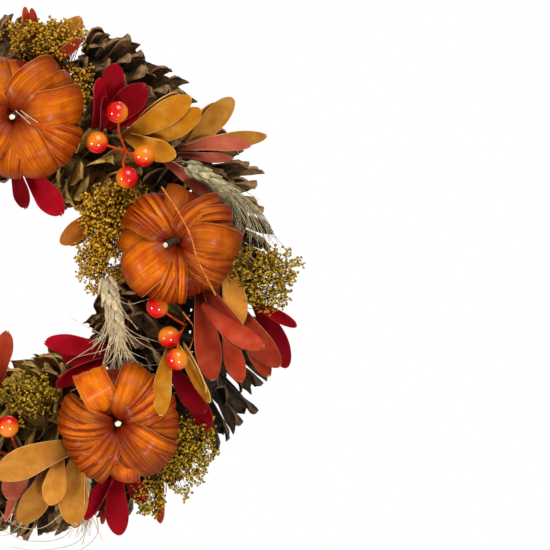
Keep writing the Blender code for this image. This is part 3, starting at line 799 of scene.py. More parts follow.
def pine_cone(name, middle, axis, radius, length, inner_side, stretch, masters, look, seed):
    """Scales in a golden spiral round a core; axis points at the cone's tip.

    inner_side is the direction in which scales lie longer, over the vine ring; stretch is how
    much longer they are on the other side.
    """
    chance = random.Random(seed)
    count = sizes().scale_count
    facing = axis.to_track_quat('Z', 'Y').to_matrix().to_4x4()
    start = Matrix.Translation(middle) @ facing
    free_side = facing.to_3x3().transposed() @ -inner_side
    free_turn = math.atan2(-free_side.x, free_side.y)
    places = [((number + 0.5) / count, number * GOLDEN_TURN, 1.0, 1.0) for number in range(count)]
    places += [((number + 0.5) / RIM_SCALES, free_turn + RIM_FAN * (-1) ** number, RIM_NARROW,
                RIM_LONGER) for number in range(RIM_SCALES)]
    parts = []
    for along, turn, narrow, longer in places:
        height = length * (ROOT_START + ROOT_CLIMB * along)
        core = radius * ROOT_RADIUS
        lean = math.radians(SCALE_LEAN - SCALE_CLOSING * along ** 1.1 + chance.uniform(-8, 8))
        spin = Matrix.Rotation(turn + chance.uniform(-0.12, 0.12), 4, 'Z')
        across, outward, _ = (start @ spin).to_3x3().transposed()
        cover = max(0.0, outward.dot(inner_side)) * max(0.0, 0.45 + 0.55 * outward.dot(FORWARD))
        reach = radius * cone_reach(along) * chance.uniform(0.84, 1.12) * (1.0 + OVER_RING * cover)
        reach *= longer * (1.0 + (stretch - 1.0) * max(0.0, -outward.dot(inner_side)))
        reach = (reach - core) / math.sin(max(lean, math.radians(42)))
        width = radius * narrow * (SCALE_WIDTH - SCALE_NARROWING * along)
        width *= chance.uniform(0.85, 1.15)
        width *= KHAKI_WIDER if look == "khaki_cone" else 1.0
        tilt = Matrix.Rotation(math.radians(90.0) - lean, 4, 'X')
        roll = Matrix.Rotation(math.radians(40.0 * across.dot(FORWARD) + chance.uniform(-18, 18)),
                               4, 'Y')
        place = (start @ spin @ Matrix.Translation((0.0, core, height)) @ tilt @ roll
                 @ Matrix.Diagonal((width, reach, radius * SCALE_CURL, 1.0)))
        part = copied(masters[chance.randrange(len(masters))], place)
        give_value(part, "tone", chance.random())
        parts.append(part)
    core_piece = primitive("uv_sphere", segments=12, ring_count=8, radius=1.0)
    core_radius = radius * CORE_HALVES[0]
    core_piece.data.transform(start @ Matrix.Diagonal((core_radius, core_radius,
                                                       length * CORE_HALVES[1], 1.0)))
    give_value(core_piece, "tone", 0.0)
    parts.append(core_piece)
    cone = joined(parts, f"{name}_scales")
    for vertex in cone.data.vertices:
        vertex.co.y = min(vertex.co.y, CENTRE.y - DOOR_GAP)
    finished(cone, look, name)


class WREATH_OT_pine_cones(bpy.types.Operator):
    """Build every pine cone from one modelled scale"""
    bl_idname = "wreath.pine_cones"
    bl_label = "Pine cones"

    def execute(self, context):
        masters = [cone_scale(*shape) for shape in SCALE_SHAPES]
        names = sorted(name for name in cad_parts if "_cone_" in name)
        for seed, name in enumerate(names):
            low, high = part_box(name)
            turn, lengthen, stretch = CONE_DIFFERENCES.get(name, (0.0, 1.0, 1.0))
            middle = (low + high) / 2 - CENTRE
            middle.rotate(Matrix.Rotation(math.radians(-turn), 3, 'Y'))
            out = Vector((middle.x, 0.0, middle.z)).normalized()
            middle += CENTRE
            axis = Vector((out.z, 0.0, -out.x))
            kind = name.split("_")[0]
            shift, fuller, long = CONE_KINDS[kind]
            inner_side = -out if kind == "outer" else out
            middle += inner_side * shift
            radius = (high.y - low.y) / 2 * fuller
            pine_cone(name, middle, axis, radius, radius * long * lengthen, inner_side, stretch,
                      masters, CONE_LOOKS.get(name, "cone"), seed)
        for master in masters:
            forget(master)
        return {'FINISHED'}


# ---- Husk pumpkins -------------------------------------------------------------------------

# Each raised lobe: bearing, slant, width in mm, lift in mm, and the strips it is folded from
PUMPKIN_LOBES = {
    "top": ((108, 0, 15, 2.6, 1), (90, 0, 13, 0.6, 1), (57, -24, 24, 5.4, 1), (34, -4, 16, 0.4, 1),
            (3, 14, 26, 4.8, 1), (-32, 4, 21, 2.0, 3), (-65, 5, 23, 4.6, 1), (-97, 0, 19, 3.2, 1),
            (-128, -6, 19, 5.0, 2), (-160, 0, 18, 2.4, 1), (169, 8, 21, 4.6, 1),
            (136, 6, 20, 3.0, 2)),
    "right": ((132, 10, 25, 5.4, 3), (176, -6, 15, 1.2, 1), (212, 10, 28, 5.2, 1),
              (262, -12, 25, 6.0, 4), (322, 24, 29, 3.4, 5), (8, -26, 21, 5.4, 1),
              (50, -32, 20, 3.0, 2), (90, -6, 15, 1.2, 1)),
    "lower_right": ((177, -18, 23, 4.6, 4), (212, -30, 26, 3.2, 5), (247, -22, 20, 5.2, 3),
                    (281, -6, 17, 2.2, 1), (311, 12, 25, 5.6, 2), (350, 8, 20, 2.8, 3),
                    (27, 16, 23, 5.2, 3), (67, 4, 21, 3.2, 1)),
}
# Bearings of the sunken strips seen between them
SUNKEN_STRIPS = {
    "top": (76, 20, -14, -48, -82, -112, -144, 178, 152, 122),
    "right": (155, 192, 238, 284, 300, 344, 28, 70, 108),
    "lower_right": (8, 47, 92, 106, 196, 230, 264, 296, 331),
}
# Lobes that stand off the pumpkin as open loops: bearing, slant, width and lift in mm
OPEN_LOOPS = {"lower_right": ((122, -6, 20, 7.5),)}
MIRRORED_PUMPKINS = {"left": "right", "lower_left": "lower_right"}


# A strip's path from the dimple round to the underside, as shares of the radius and half height
STRIP_SHAPE = ((0.07, 0.42), (0.14, 0.74), (0.27, 0.96), (0.47, 1.05), (0.70, 0.98), (0.88, 0.76),
               (0.98, 0.38), (1.0, 0.0), (0.95, -0.46), (0.78, -0.82), (0.55, -0.98), (0.30, -1.0))
LOOP_SHAPE = ((0.22, 0.55), (0.40, 1.02), (0.62, 1.30), (0.86, 1.26), (1.00, 0.96), (1.02, 0.60),
              (0.90, 0.34), (0.66, 0.30))
STRIP_STEPS = 24
PLEAT_WIDTH = 0.0048
# A strip's crown as a share of its width, and its roll in degrees
STRIP_CROWN = 0.13
STRIP_ROLL = (9, 19)
# How far raised and sunken strips reach, as shares of the radius
RAISED_REACH = (0.90, 0.97)
SUNKEN_REACH = 0.86
# Depth of the pleats in single and in folded strips, in mm
SINGLE_PLEAT = (0.02, 0.10)
FOLDED_PLEAT = (0.35, 0.75)
# Where painted shade darkens strips, as shares of their half width or of the pumpkin's radius, and how
# much
SIDE_FROM, SIDE_SHADE = 0.80, 0.66
RIM_FROM, RIM_SHADE = 0.88, 0.34
DIMPLE_TO, DIMPLE_SHADE = 0.48, 1.55
SUNKEN_SHADE = 0.75
VALLEY_SHADE = 2.0
# A sunken strip's slant, width and lift in mm, and the strips it is folded from
SUNKEN = (0, 14, -2.4, 1)
PUMPKIN_HALF_HEIGHT = 0.018
# The hollow's dimple: its width as a share of the radius, and its slope
DIMPLE_SHARE = 0.3
DIMPLE_SLOPE = 0.022
PEG_WIRE = 0.0024
TWIG_WIRE = 0.0023
CUT_END = 0.0017
# Pumpkins that are wider on one side: its bearing, and how much wider as a share
WIDER_SIDES = {"top": (-4.0, 0.20)}
# How dull and how bright each pumpkin's strips are, as tones; the top pumpkin's brighter range is
# painted light, for the light that falls on it
PUMPKIN_TONES = {"top": (0.16, 0.92)}
USUAL_TONES = (0.0, 0.84)


def strip_path(centre, bearing, slant, radius, half_height, lift):
    """Meridian of a husk strip: out of the dimple, over the shoulder, round and underneath."""
    key = []
    for share, height in STRIP_SHAPE:
        out = bearing + slant * (share - 0.5)
        bulge = lift * math.sin(math.pi * min(1.0, 0.15 + 0.75 * share))
        place = centre + bearing_step(out, radius * share + 0.35 * bulge * share)
        place += FORWARD * (half_height * height + (bulge if height > -0.4 else 0.0))
        key.append(place)
    run = curved(key, 4)
    return [run[round(step * (len(run) - 1) / STRIP_STEPS)] for step in range(STRIP_STEPS + 1)]


def husk(centre, radius, half_height, bearing, slant, width, lift, roll, tones, pleat, chance):
    """One husk strip bent over a pumpkin, pleated lengthwise, with painted shade in its pleat valleys,
    along its sides, in the dimple, at the rim and underneath, and all over when sunken.
    """
    path = strip_path(centre, bearing, slant, radius, half_height, lift)
    halves = []
    for step in range(STRIP_STEPS + 1):
        along = step / STRIP_STEPS
        spread = min(1.0, 0.42 + 2.2 * along) - 0.8 * max(0.0, along - 0.48)
        halves.append(width / 2 * spread)
    phase = chance.uniform(0, math.tau)
    rolls = [roll * min(1.0, 2.5 * step / STRIP_STEPS) for step in range(STRIP_STEPS + 1)]
    crown = STRIP_CROWN * width
    ridges = math.pi / 2 * width / PLEAT_WIDTH

    def ridge(across, along):
        return abs(math.sin(ridges * across + 0.5 * math.sin(4.0 * along + phase) + phase))

    def section(across, along):
        return (crown * (1 - across * across) + pleat * MM * ridge(across, along)
                + 0.00025 * math.sin(8 * along + phase) * (1 + across))

    part = blade(path, halves, section, rolls, sizes().husk_thickness, 12)
    dull, bright = tones
    # Sunken strips take tones below the pumpkin's dull one: painted shade where they lie low between the
    # lobes
    give_value(part, "tone", chance.uniform(dull, bright) if lift > 0 else dull * chance.random())
    # Painted shade in the pleat valleys and along the strip's sides
    crease_shade = [0.0] * len(part.data.vertices)
    for loop, place in zip(part.data.loops, part.data.uv_layers.active.data):
        valley = 1.0 - ridge(2.0 * place.uv.x - 1.0, place.uv.y)
        side = max(0.0, abs(2.0 * place.uv.x - 1.0) - SIDE_FROM) / (1.0 - SIDE_FROM)
        crease_shade[loop.vertex_index] = VALLEY_SHADE * pleat * valley ** 2 + SIDE_SHADE * side
    # Painted shade near the dimple, at the rim, on the underside, on sunken strips and in the creases
    painted_shade = []
    for vertex in part.data.vertices:
        away = math.hypot(vertex.co.x - centre.x, vertex.co.z - centre.z) / radius
        inner = max(0.0, 1.0 - away / DIMPLE_TO)
        rim = max(0.0, (away - RIM_FROM) / (1.0 - RIM_FROM))
        under = max(0.0, (vertex.co.y - centre.y) / half_height)
        low = SUNKEN_SHADE if lift < 0 else 0.0
        painted_shade.append(min(1.0, DIMPLE_SHADE * inner + RIM_SHADE * rim + under + low
                          + crease_shade[vertex.index]))
    give_value(part, "painted_shade", painted_shade)
    give_value(part, "pleats", pleat)
    return part


def open_loop(centre, radius, half_height, bearing, slant, width, lift):
    """Husk strip that stands off the pumpkin in an open loop with a square end."""
    key = []
    for share, height in LOOP_SHAPE:
        out = bearing + slant * (share - 0.5)
        place = centre + bearing_step(out, radius * share)
        key.append(place + FORWARD * (half_height * height + 0.2 * lift))
    path = curved(key, 3)
    halves = [width / 2 * min(1.0, 0.75 + 1.2 * step / len(path)) for step in range(len(path))]
    part = blade(path, halves, lambda across, along: 0.0003 * math.sin(9 * across + 7 * along),
                 [math.radians(4)] * len(path), sizes().husk_thickness, 6)
    give_value(part, "tone", 0.75)
    # Painted shade on the part of the loop that lies back towards the pumpkin
    give_value(part, "painted_shade", [0.75 if vertex.co.y > centre.y - 0.8 * half_height else 0.0
                                for vertex in part.data.vertices])
    return part


def husk_pumpkin(name, lobes, sunken, loops):
    """Flat husk strips bent over a hollow, in raised lobes with sunken strips between."""
    low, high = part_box(f"pumpkin_{name}")
    centre = (low + high) / 2
    radius = (high.x - low.x) / 2
    half_height = PUMPKIN_HALF_HEIGHT
    centre.y = low.y + half_height
    chance = random.Random(name)
    tones = PUMPKIN_TONES.get(name, USUAL_TONES)
    wide_side, wider = WIDER_SIDES.get(name, (0.0, 0.0))
    parts = []
    for bearing, slant, width, lift, folds in lobes + [(place, *SUNKEN) for place in sunken]:
        reach = radius * (chance.uniform(*RAISED_REACH) if lift > 0 else SUNKEN_REACH)
        reach *= 1.0 + wider * max(0.0, math.cos(math.radians(bearing - wide_side)))
        fan = math.degrees(width * MM / radius) * (1 - 1 / folds) * 0.95
        for fold in range(folds):
            offset = fan * (fold / (folds - 1) - 0.5) if folds > 1 else 0.0
            strip_width = width * MM * (1.0 if folds == 1 else 1.7 / folds)
            pleat = chance.uniform(*(SINGLE_PLEAT if folds == 1 else FOLDED_PLEAT))
            parts.append(husk(centre, reach, half_height - 0.0012, bearing + offset, slant,
                              strip_width, (lift + 0.55 * (fold % 2) + 0.25 * fold) * MM,
                              math.radians(chance.uniform(*STRIP_ROLL)), tones, pleat, chance))
    for bearing, slant, width, lift in loops:
        parts.append(open_loop(centre, radius, half_height, bearing, slant, width * MM, lift * MM))
    pumpkin = joined(parts, f"pumpkin_{name}_strips")
    smooth(pumpkin, 35.0)
    finished(pumpkin, "husk", f"pumpkin_{name}")

    # Painted shade: a dark body inside the strips that shows as shade in the gaps between the lobes
    hollow = primitive("uv_sphere", segments=28, ring_count=14, radius=1.0)
    hollow.data.transform(Matrix.Translation(centre)
                          @ Matrix.Diagonal((radius * 0.76, half_height * 0.66, radius * 0.76, 1)))
    for vertex in hollow.data.vertices:
        away = vertex.co - centre
        flat = math.hypot(away.x, away.z) / radius
        if away.y < 0 and flat < DIMPLE_SHARE:
            vertex.co.y += (DIMPLE_SHARE - flat) * DIMPLE_SLOPE
    give_value(hollow, "tone", 0.4)
    hollow = joined([hollow], f"pumpkin_{name}_hollow")
    smooth(hollow)
    finished(hollow, "hollow")
    foot = ring_foot(away_from_centre(centre))
    peg = wires(f"pumpkin_{name}_peg", [[(foot, 1.0), (Vector((foot.x, centre.y, foot.z)), 1.0)]],
                PEG_WIRE, 3)
    finished(peg, "stem")


# How far each leaning twig's foot lies right of and above its tip, in mm
STEM_LEANS = {"top": (5, 4), "right": (9, 8)}


def twig_stem(name):
    """Dark twig with a pale cut end, rough along its bark."""
    low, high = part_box(f"pumpkin_stem_{name}")
    seat = box_centre(f"pumpkin_{name}")
    lean = (low + high) / 2 - seat
    aside, above = STEM_LEANS.get(name, (0, 0))
    foot = Vector((seat.x + aside * MM, high.y + 0.004, seat.z + above * MM))
    tip = Vector((seat.x + 1.9 * lean.x, low.y + 0.0006, seat.z + 1.9 * lean.z))
    bend = foot.lerp(tip, 0.45) + FORWARD * 0.001
    run = curved([foot, bend, tip], 7)
    count = len(run)
    twig = wires("twig", [[(point, 1.1 - 0.22 * index / count + 0.06 * math.sin(5.0 * index))
                           for index, point in enumerate(run)]], TWIG_WIRE, 5)
    chance = random.Random(name)
    for vertex in twig.data.vertices:
        vertex.co += jitter(chance, 0.00018)
    stem = joined([twig], f"pumpkin_stem_{name}_twig")
    smooth(stem)
    finished(stem, "stem", f"pumpkin_stem_{name}")
    along = (run[-1] - run[-2]).normalized()
    cut = primitive("cylinder", vertices=20, radius=CUT_END, depth=0.0008)
    for vertex in cut.data.vertices:
        turn = math.atan2(vertex.co.y, vertex.co.x)
        vertex.co *= 1.0 + 0.10 * math.sin(2 * turn + 1.0) + 0.06 * math.sin(5 * turn)
    cut.data.transform(Matrix.Translation(run[-1] + along * 0.0003)
                       @ along.to_track_quat('Z', 'Y').to_matrix().to_4x4())
    bevel = cut.modifiers.new("worn edge", 'BEVEL')
    bevel.width = 0.0002
    bevel.segments = 2
    apply_modifiers(cut)
    give_value(cut, "tone", 0.8)
    cut = joined([cut], f"pumpkin_stem_{name}_cut")
    smooth(cut)
    finished(cut, "cut_wood")


class WREATH_OT_pumpkins(bpy.types.Operator):
    """Bend the husk pumpkins and set their twig stems"""
    bl_idname = "wreath.pumpkins"
    bl_label = "Husk pumpkins"

    def execute(self, context):
        for name, lobes in PUMPKIN_LOBES.items():
            husk_pumpkin(name, list(lobes), SUNKEN_STRIPS[name], OPEN_LOOPS.get(name, ()))
            twig_stem(name)
        for name, source in MIRRORED_PUMPKINS.items():
            lobes, loops = ([(180 - lobe[0], -lobe[1], *lobe[2:]) for lobe in group]
                            for group in (PUMPKIN_LOBES[source], OPEN_LOOPS.get(source, ())))
            sunken = [180 - bearing for bearing in SUNKEN_STRIPS[source]]
            husk_pumpkin(name, lobes, sunken, loops)
            twig_stem(name)
        return {'FINISHED'}


# Loose husk fibres lying over the dressing: places in mm right of and above the wreath's centre
# and in front of the door, and half thickness in mm
HUSK_FIBRES = {
    "husk_fibre_right": (((95, 52, 92), (104, 39, 103), (112, 24, 105), (117, 8, 104), (127, -12, 92)),
                         0.50),
    "husk_fibre_lower": (((107, -22, 70), (114, -33, 72), (110, -46, 70), (105, -54, 64)), 0.55),
    "husk_fibre_curl": (((84, -10, 76), (91, -7, 80), (97, -11, 78), (94, -15, 74)), 0.9),
}


STRAW_WIRE = 0.00028
STICK_WIRE = 0.00024
# Pale sticks beside the top pumpkin's stem, and loose straws under the bottom cones, as places
PALE_STICKS = (((9, 97, 99), (18, 89, 101)), ((12, 97, 99), (22, 90, 100)))
STRAWS = (
    ((46, -142, 52), (34, -158, 52), (12, -160, 50), (-6, -152, 46)),
    ((50, -140, 52), (44, -160, 52), (20, -166, 50), (2, -164, 46)),
    ((40, -138, 54), (22, -152, 54), (4, -150, 50), (-8, -138, 46)),
    ((52, -136, 50), (55, -156, 52), (40, -168, 50), (26, -170, 46)),
    ((30, -134, 52), (14, -146, 54), (2, -156, 50), (-10, -158, 46)),
)


class WREATH_OT_fibres(bpy.types.Operator):
    """Lay the loose husk fibres and straws over the dressing"""
    bl_idname = "wreath.fibres"
    bl_label = "Husk fibres"

    def execute(self, context):
        for name, (places, thick) in HUSK_FIBRES.items():
            run = curved([spot(*place) for place in places], 8)
            fibre = wires(name, [[(point, 1.0 + 0.25 * math.sin(0.9 * index))
                                  for index, point in enumerate(run)]], thick * MM, 2)
            smooth(fibre)
            finished(fibre, "fibre")
        for number, places in enumerate(STRAWS):
            run = tapered([spot(*place) for place in places], 8, 1.1, 0.028)
            straw = wires(f"straw_{number + 1}", [run], STRAW_WIRE, 1)
            finished(straw, "wheat")
        sticks = wires("husk_fibre_pale", [[(spot(*place), 1.0) for place in run]
                                           for run in PALE_STICKS], STICK_WIRE, 2)
        finished(sticks, "wheat")
        return {'FINISHED'}


# ---- Leaves --------------------------------------------------------------------------------

# Each cluster: finish, and petals as root and tip (mm right of and above the wreath's centre),
# width, depth of root and tip in front of the door (mm), cup (edges forward, shares) and roll
LEAF_CURLS = {
    "leaf_crimson_upper": ("crimson", (
        (62, 92, 66, 127, 15, 52, 62, 0.12, 0), (56, 88, 85, 113, 18, 52, 66, 0.14, 6),
        (52, 88, 57, 118, 12, 56, 66, 0.35, 48), (57, 86, 61, 107, 8, 58, 67, 0.35, 50),
        (62, 88, 86, 100, 13, 53, 62, 0.14, -10))),
    "leaf_gold_upper": ("gold", (
        (70, 82, 112, 106, 16, 56, 73, 0.13, 4), (76, 78, 118, 99, 15, 54, 70, 0.14, -8),
        (80, 94, 104, 109, 7, 60, 69, 0.30, 55), (72, 84, 103, 71, 14, 56, 70, 0.18, 10))),
    "leaf_tan_upper": ("tan", (
        (108, 72, 137, 106, 15, 52, 62, 0.16, 4), (106, 76, 157, 83, 11, 56, 62, 0.18, 12),
        (106, 80, 128, 103, 10, 54, 60, 0.24, 30))),
    "leaf_gold_top": ("tan", (
        (25, 133, 46, 154, 13, 56, 64, 0.2, 8), (28, 131, 37, 151, 9, 54, 59, 0.2, -30))),
    "leaf_crimson_inner_top": ("crimson", (
        (12, 64, 34, 36, 17, 56, 64, 0.12, 8), (5, 66, 12, 40, 13, 54, 60, 0.2, 30))),
    "leaf_rust_right": ("rust", (
        (117, -8, 125, -63, 17, 64, 74, 0.20, -10), (120, -7, 144, -44, 15, 70, 80, 0.20, 0),
        (133, -28, 142, -64, 13, 60, 70, 0.14, 8), (133, -9, 165, -55, 17, 55, 64, 0.14, 6),
        (119, -17, 155, -43, 14, 80, 84, -0.20, -16), (138, -22, 158, -61, 13, 53, 60, 0.12, -8))),
    "leaf_gold_right": ("gold", (
        (100, -42, 95, -83, 12, 76, 99, 0.12, 4), (104, -42, 123, -76, 10, 68, 78, 0.3, 42),
        (107, -40, 121, -70, 6, 70, 79, 0.3, 60))),
    "leaf_crimson_inner_right": ("crimson", (
        (66, -46, 24, -40, 13, 54, 60, 0.12, 8), (66, -50, 31, -67, 12, 56, 63, 0.2, -24),
        (64, -44, 34, -50, 18, 53, 58, 0.10, 0))),
    "leaf_crimson_bottom": ("crimson", (
        (68, -114, 48, -147, 11, 54, 60, 0.2, 24), (68, -116, 69, -156, 15, 56, 63, 0.12, 0),
        (72, -118, 84, -136, 12, 53, 58, 0.18, 14))),
    "leaf_gold_bottom": ("tan", (
        (46, -101, -4, -120, 20, 62, 76, 0.16, -8), (45, -104, 42, -149, 19, 62, 74, 0.14, 4),
        (33, -108, 28, -137, 15, 66, 77, 0.14, 0), (32, -110, 9, -148, 17, 60, 69, 0.14, 6),
        (50, -104, 47, -146, 7, 60, 70, 0.3, 62))),
}

# Small clusters without a solid of their own
SMALL_LEAVES = {
    "leaf_rust_upper_small": ("pink", (
        (104, 76, 148, 78, 11, 56, 61, 0.18, -8), (103, 73, 137, 70, 7, 54, 59, 0.28, 30),
        (94, 70, 125, 45, 10, 60, 70, 0.22, 25))),
    "leaf_gold_inner_small": ("amber", (
        (60, 42, 33, 19, 13, 50, 57, 0.30, 20), (58, 34, 38, 18, 9, 48, 54, 0.2, -30))),
    "leaf_gold_right_small": ("tan", (
        (131, 12, 141, -30, 15, 56, 64, 0.10, 5), (133, 10, 130, -20, 11, 54, 60, 0.15, 20))),
    "leaf_crimson_right_small": ("crimson", (
        (146, -14, 175, -31, 9, 56, 62, 0.25, 25), (148, -12, 169, -56, 15, 50, 55, 0.12, 0))),
    "leaf_crimson_lower_small": ("crimson", (
        (99, -54, 120, -82, 14, 60, 70, 0.12, 0), (106, -64, 122, -93, 13, 56, 64, 0.15, 8))),
    "leaf_pink_bottom_small": ("pink", (
        (12, -112, 2, -134, 16, 58, 66, 0.10, 0), (18, -116, 0, -148, 8, 56, 62, 0.3, 50),
        (22, -116, 6, -146, 7, 54, 60, 0.3, -50))),
    "leaf_rust_bottom_small": ("rust", (
        (92, -122, 93, -149, 8, 52, 58, 0.2, 30), (58, -138, 58, -150, 5, 50, 53, 0.2, 40))),
    "leaf_crimson_top_small": ("rust", (
        (15, 134, 12, 161, 6, 54, 60, 0.3, 30), (18, 134, 16, 160, 6, 56, 62, 0.3, -24),
        (24, 128, 46, 141, 8, 60, 67, 0.24, 30))),
    "leaf_red_inner_small": ("rust", ((-4, -68, 2, -34, 13, 54, 62, 0.15, 20),)),
}

# The far half's clusters: the cluster mirrored, its finish, and the turn after mirroring
MIRRORED_CURLS = {
    "leaf_rust_upper_left": ("leaf_crimson_upper", "rust", 0.0),
    "leaf_gold_upper_left": ("leaf_gold_upper", "gold", 2.0),
    "leaf_crimson_upper_left": ("leaf_tan_upper", "crimson", -2.0),
    "leaf_rust_left": ("leaf_rust_right", "rust", -3.0),
    "leaf_gold_left": ("leaf_gold_right", "gold", 1.0),
    "leaf_crimson_inner_left": ("leaf_crimson_inner_right", "crimson", 4.0),
    "leaf_crimson_bottom_left": ("leaf_crimson_bottom", "crimson", -1.0),
}
MIRRORED_SMALL = {
    "leaf_gold_upper_left_small": ("leaf_rust_upper_small", "gold", 0.0),
    "leaf_rust_inner_left_small": ("leaf_gold_inner_small", "rust", 3.0),
    "leaf_crimson_left_small": ("leaf_gold_right_small", "crimson", -3.0),
    "leaf_gold_left_small": ("leaf_crimson_right_small", "gold", -3.0),
    "leaf_rust_lower_left_small": ("leaf_crimson_lower_small", "rust", 1.0),
    "leaf_gold_bottom_left_small": ("leaf_rust_bottom_small", "gold", 0.0),
    "leaf_rust_top_left_small": ("leaf_crimson_top_small", "crimson", 12.0),
}


PETAL_STEPS = 13
# A petal's arch and sway as shares of its length, its twist in degrees, the share of petals with a
# torn tip and how far the tear reaches as a share of the width
PETAL_ARCH = (0.05, 0.11)
PETAL_SWAY = 0.05
PETAL_TWIST = 10
TORN_PETALS = 0.3
TORN_REACH = 0.10
# How far behind the petals' roots their wires meet, and those wires' radius
PICK_HEAD = 0.008
PICK_WIRE = 0.0005


def petal(root, tip, width, cup, roll, chance):
    """One wood-curl petal: narrow root, full middle, round tip, bent forward along its length."""
    run = tip - root
    arch = run.length * chance.uniform(*PETAL_ARCH)
    sway = (run.cross(FORWARD).normalized() * run.length
            * chance.uniform(-PETAL_SWAY, PETAL_SWAY))
    path = []
    halves = []
    rolls = []
    twist = math.radians(chance.uniform(-PETAL_TWIST, PETAL_TWIST))
    for step in range(PETAL_STEPS + 1):
        along = 1.0 - (1.0 - step / PETAL_STEPS) ** 1.35
        path.append(root + run * along + FORWARD * arch * math.sin(math.pi * along * 0.9)
                    + sway * math.sin(math.pi * along))
        full = max(0.0, 1.0 - ((along - 0.60) / 0.402) ** 2 if along > 0.60 else 1.0)
        rise = min(1.0, 0.30 + 1.35 * along - 0.45 * along * along)
        halves.append(width / 2 * rise * math.sqrt(max(full, 0.012)))
        rolls.append(math.radians(roll) + twist * along)
    wave = chance.uniform(0, math.tau)
    fray = width * TORN_REACH if chance.random() < TORN_PETALS else 0.0

    def section(across, along):
        return width * (cup * (across * across - 0.4) * math.sin(math.pi * min(1.0, along + 0.2))
                        + 0.018 * math.sin(7.0 * along + wave) * across)

    piece = blade(path, halves, section, rolls, sizes().leaf_thickness, 8, 1, fray)
    give_value(piece, "tone", chance.random())
    return piece


def leaf_cluster(name, look, petals, chance):
    """A cluster's petals, and the wire pick that holds them in the ring."""
    parts = []
    for root_x, root_z, tip_x, tip_z, width, root_depth, tip_depth, cup, roll in petals:
        parts.append(petal(spot(root_x, root_z, root_depth), spot(tip_x, tip_z, tip_depth),
                           width * MM, cup, roll, chance))
    roots = [spot(root_x, root_z, root_depth) for root_x, root_z, _, _, _, root_depth, *_ in petals]
    head = sum(roots, Vector()) / len(roots) - FORWARD * PICK_HEAD
    foot = ring_foot(away_from_centre(head))
    runs = [[(foot, 1.6), (head, 1.6)]] + [[(head, 1.0), (root, 1.0)] for root in roots]
    pick = wires(f"{name}_pick", runs, PICK_WIRE, 2)
    finished(pick, "stem")
    cluster = joined(parts, f"{name}_curls")
    smooth(cluster)
    finished(cluster, look, name)


def mirrored_petals(petals, turn):
    """The same petals across the wreath, turned about its centre."""
    return [(*mirrored(root_x, root_z, turn), *mirrored(tip_x, tip_z, turn), *shape, -roll)
            for root_x, root_z, tip_x, tip_z, *shape, roll in petals]


class WREATH_OT_leaves(bpy.types.Operator):
    """Curl the petals of every leaf cluster"""
    bl_idname = "wreath.leaves"
    bl_label = "Leaf clusters"

    def execute(self, context):
        chance = random.Random(11)
        for near, far in ((LEAF_CURLS, MIRRORED_CURLS), (SMALL_LEAVES, MIRRORED_SMALL)):
            for name, (look, petals) in near.items():
                leaf_cluster(name, look, petals, chance)
            for name, (source, look, turn) in far.items():
                leaf_cluster(name, look, mirrored_petals(near[source][1], turn), chance)
        return {'FINISHED'}


# ---- Berries -------------------------------------------------------------------------------

# Each sprig: fork (mm right, up, depth), then berries as place, the bearing of the red cheek and
# how far that cheek turns forward
BERRY_SPRIGS = {
    "berry_sprig_upper_right": ((73, 74, 62), (
        (68, 97, 76, 165, 0.5), (56, 79, 78, -75, -0.35), (84, 71, 78, -100, -0.5),
        (74, 58, 80, 20, 0.35))),
    "berry_sprig_right": ((108, -30, 62), (
        (92, -19, 80, 200, 0.3), (99, -37, 78, -70, -0.05), (104, -50, 86, 205, -0.35))),
    "berry_sprig_bottom": ((8, -108, 58), (
        (3, -90, 78, 95, -0.35), (-10, -101, 76, 100, 0.0), (-18, -117, 76, 20, 0.2))),
}
MIRRORED_SPRIGS = {
    "berry_sprig_upper_left": ("berry_sprig_upper_right", 4.0),
    "berry_sprig_left": ("berry_sprig_right", -4.0),
}


BERRY_WIRE = 0.00075


def berry_sprig(name, fork, berries):
    """Lacquered berries on fine red wires; a berry is (place, red cheek's bearing, cheek's turn)."""
    radius = sizes().berry_size / 2
    chance = random.Random(name)
    balls = []
    fork = spot(*fork)
    foot = Vector((fork.x, RING_LOW.y, fork.z))
    runs = [tapered([foot, fork], 6, 1.3)]
    for *place, cheek, turn in berries:
        centre = spot(*place)
        ball = primitive("uv_sphere", segments=36, ring_count=20, radius=radius)
        pull = (fork - centre).normalized()
        red = (bearing_step(cheek, 1.0) + FORWARD * turn).normalized()
        for vertex in ball.data.vertices:
            dimple = max(0.0, vertex.co.normalized().z - 0.94) / 0.06
            vertex.co *= 1.0 - 0.10 * dimple
        ball.data.transform(pull.to_track_quat('Z', 'Y').to_matrix().to_4x4())
        blush = [0.5 - 0.5 * vertex.co.normalized().dot(red) for vertex in ball.data.vertices]
        ball.data.transform(Matrix.Translation(centre))
        give_value(ball, "blush", blush)
        balls.append(ball)
        half_way = centre.lerp(fork, 0.55) + FORWARD * 0.004 + bearing_step(
            chance.uniform(0, 360), 0.002)
        runs.append(tapered([centre + pull * radius * 0.8, half_way, fork], 8))
    ripe = joined(balls, f"{name}_berries")
    smooth(ripe, 60.0)
    finished(ripe, "berry", name)
    stalks = wires(f"{name}_wires", runs, BERRY_WIRE, 3)
    smooth(stalks)
    finished(stalks, "berry_wire")


class WREATH_OT_berries(bpy.types.Operator):
    """Set the berry sprigs"""
    bl_idname = "wreath.berries"
    bl_label = "Berry sprigs"

    def execute(self, context):
        for name, (fork, berries) in BERRY_SPRIGS.items():
            berry_sprig(name, fork, berries)
        for name, (source, turn) in MIRRORED_SPRIGS.items():
            (x, z, depth), berries = BERRY_SPRIGS[source]
            flipped = [(*mirrored(across, up, turn), forward, 180 - cheek, cheek_turn)
                       for across, up, forward, cheek, cheek_turn in berries]
            berry_sprig(name, (*mirrored(x, z, turn), depth), flipped)
        return {'FINISHED'}


# ---- Gold sprays ---------------------------------------------------------------------------

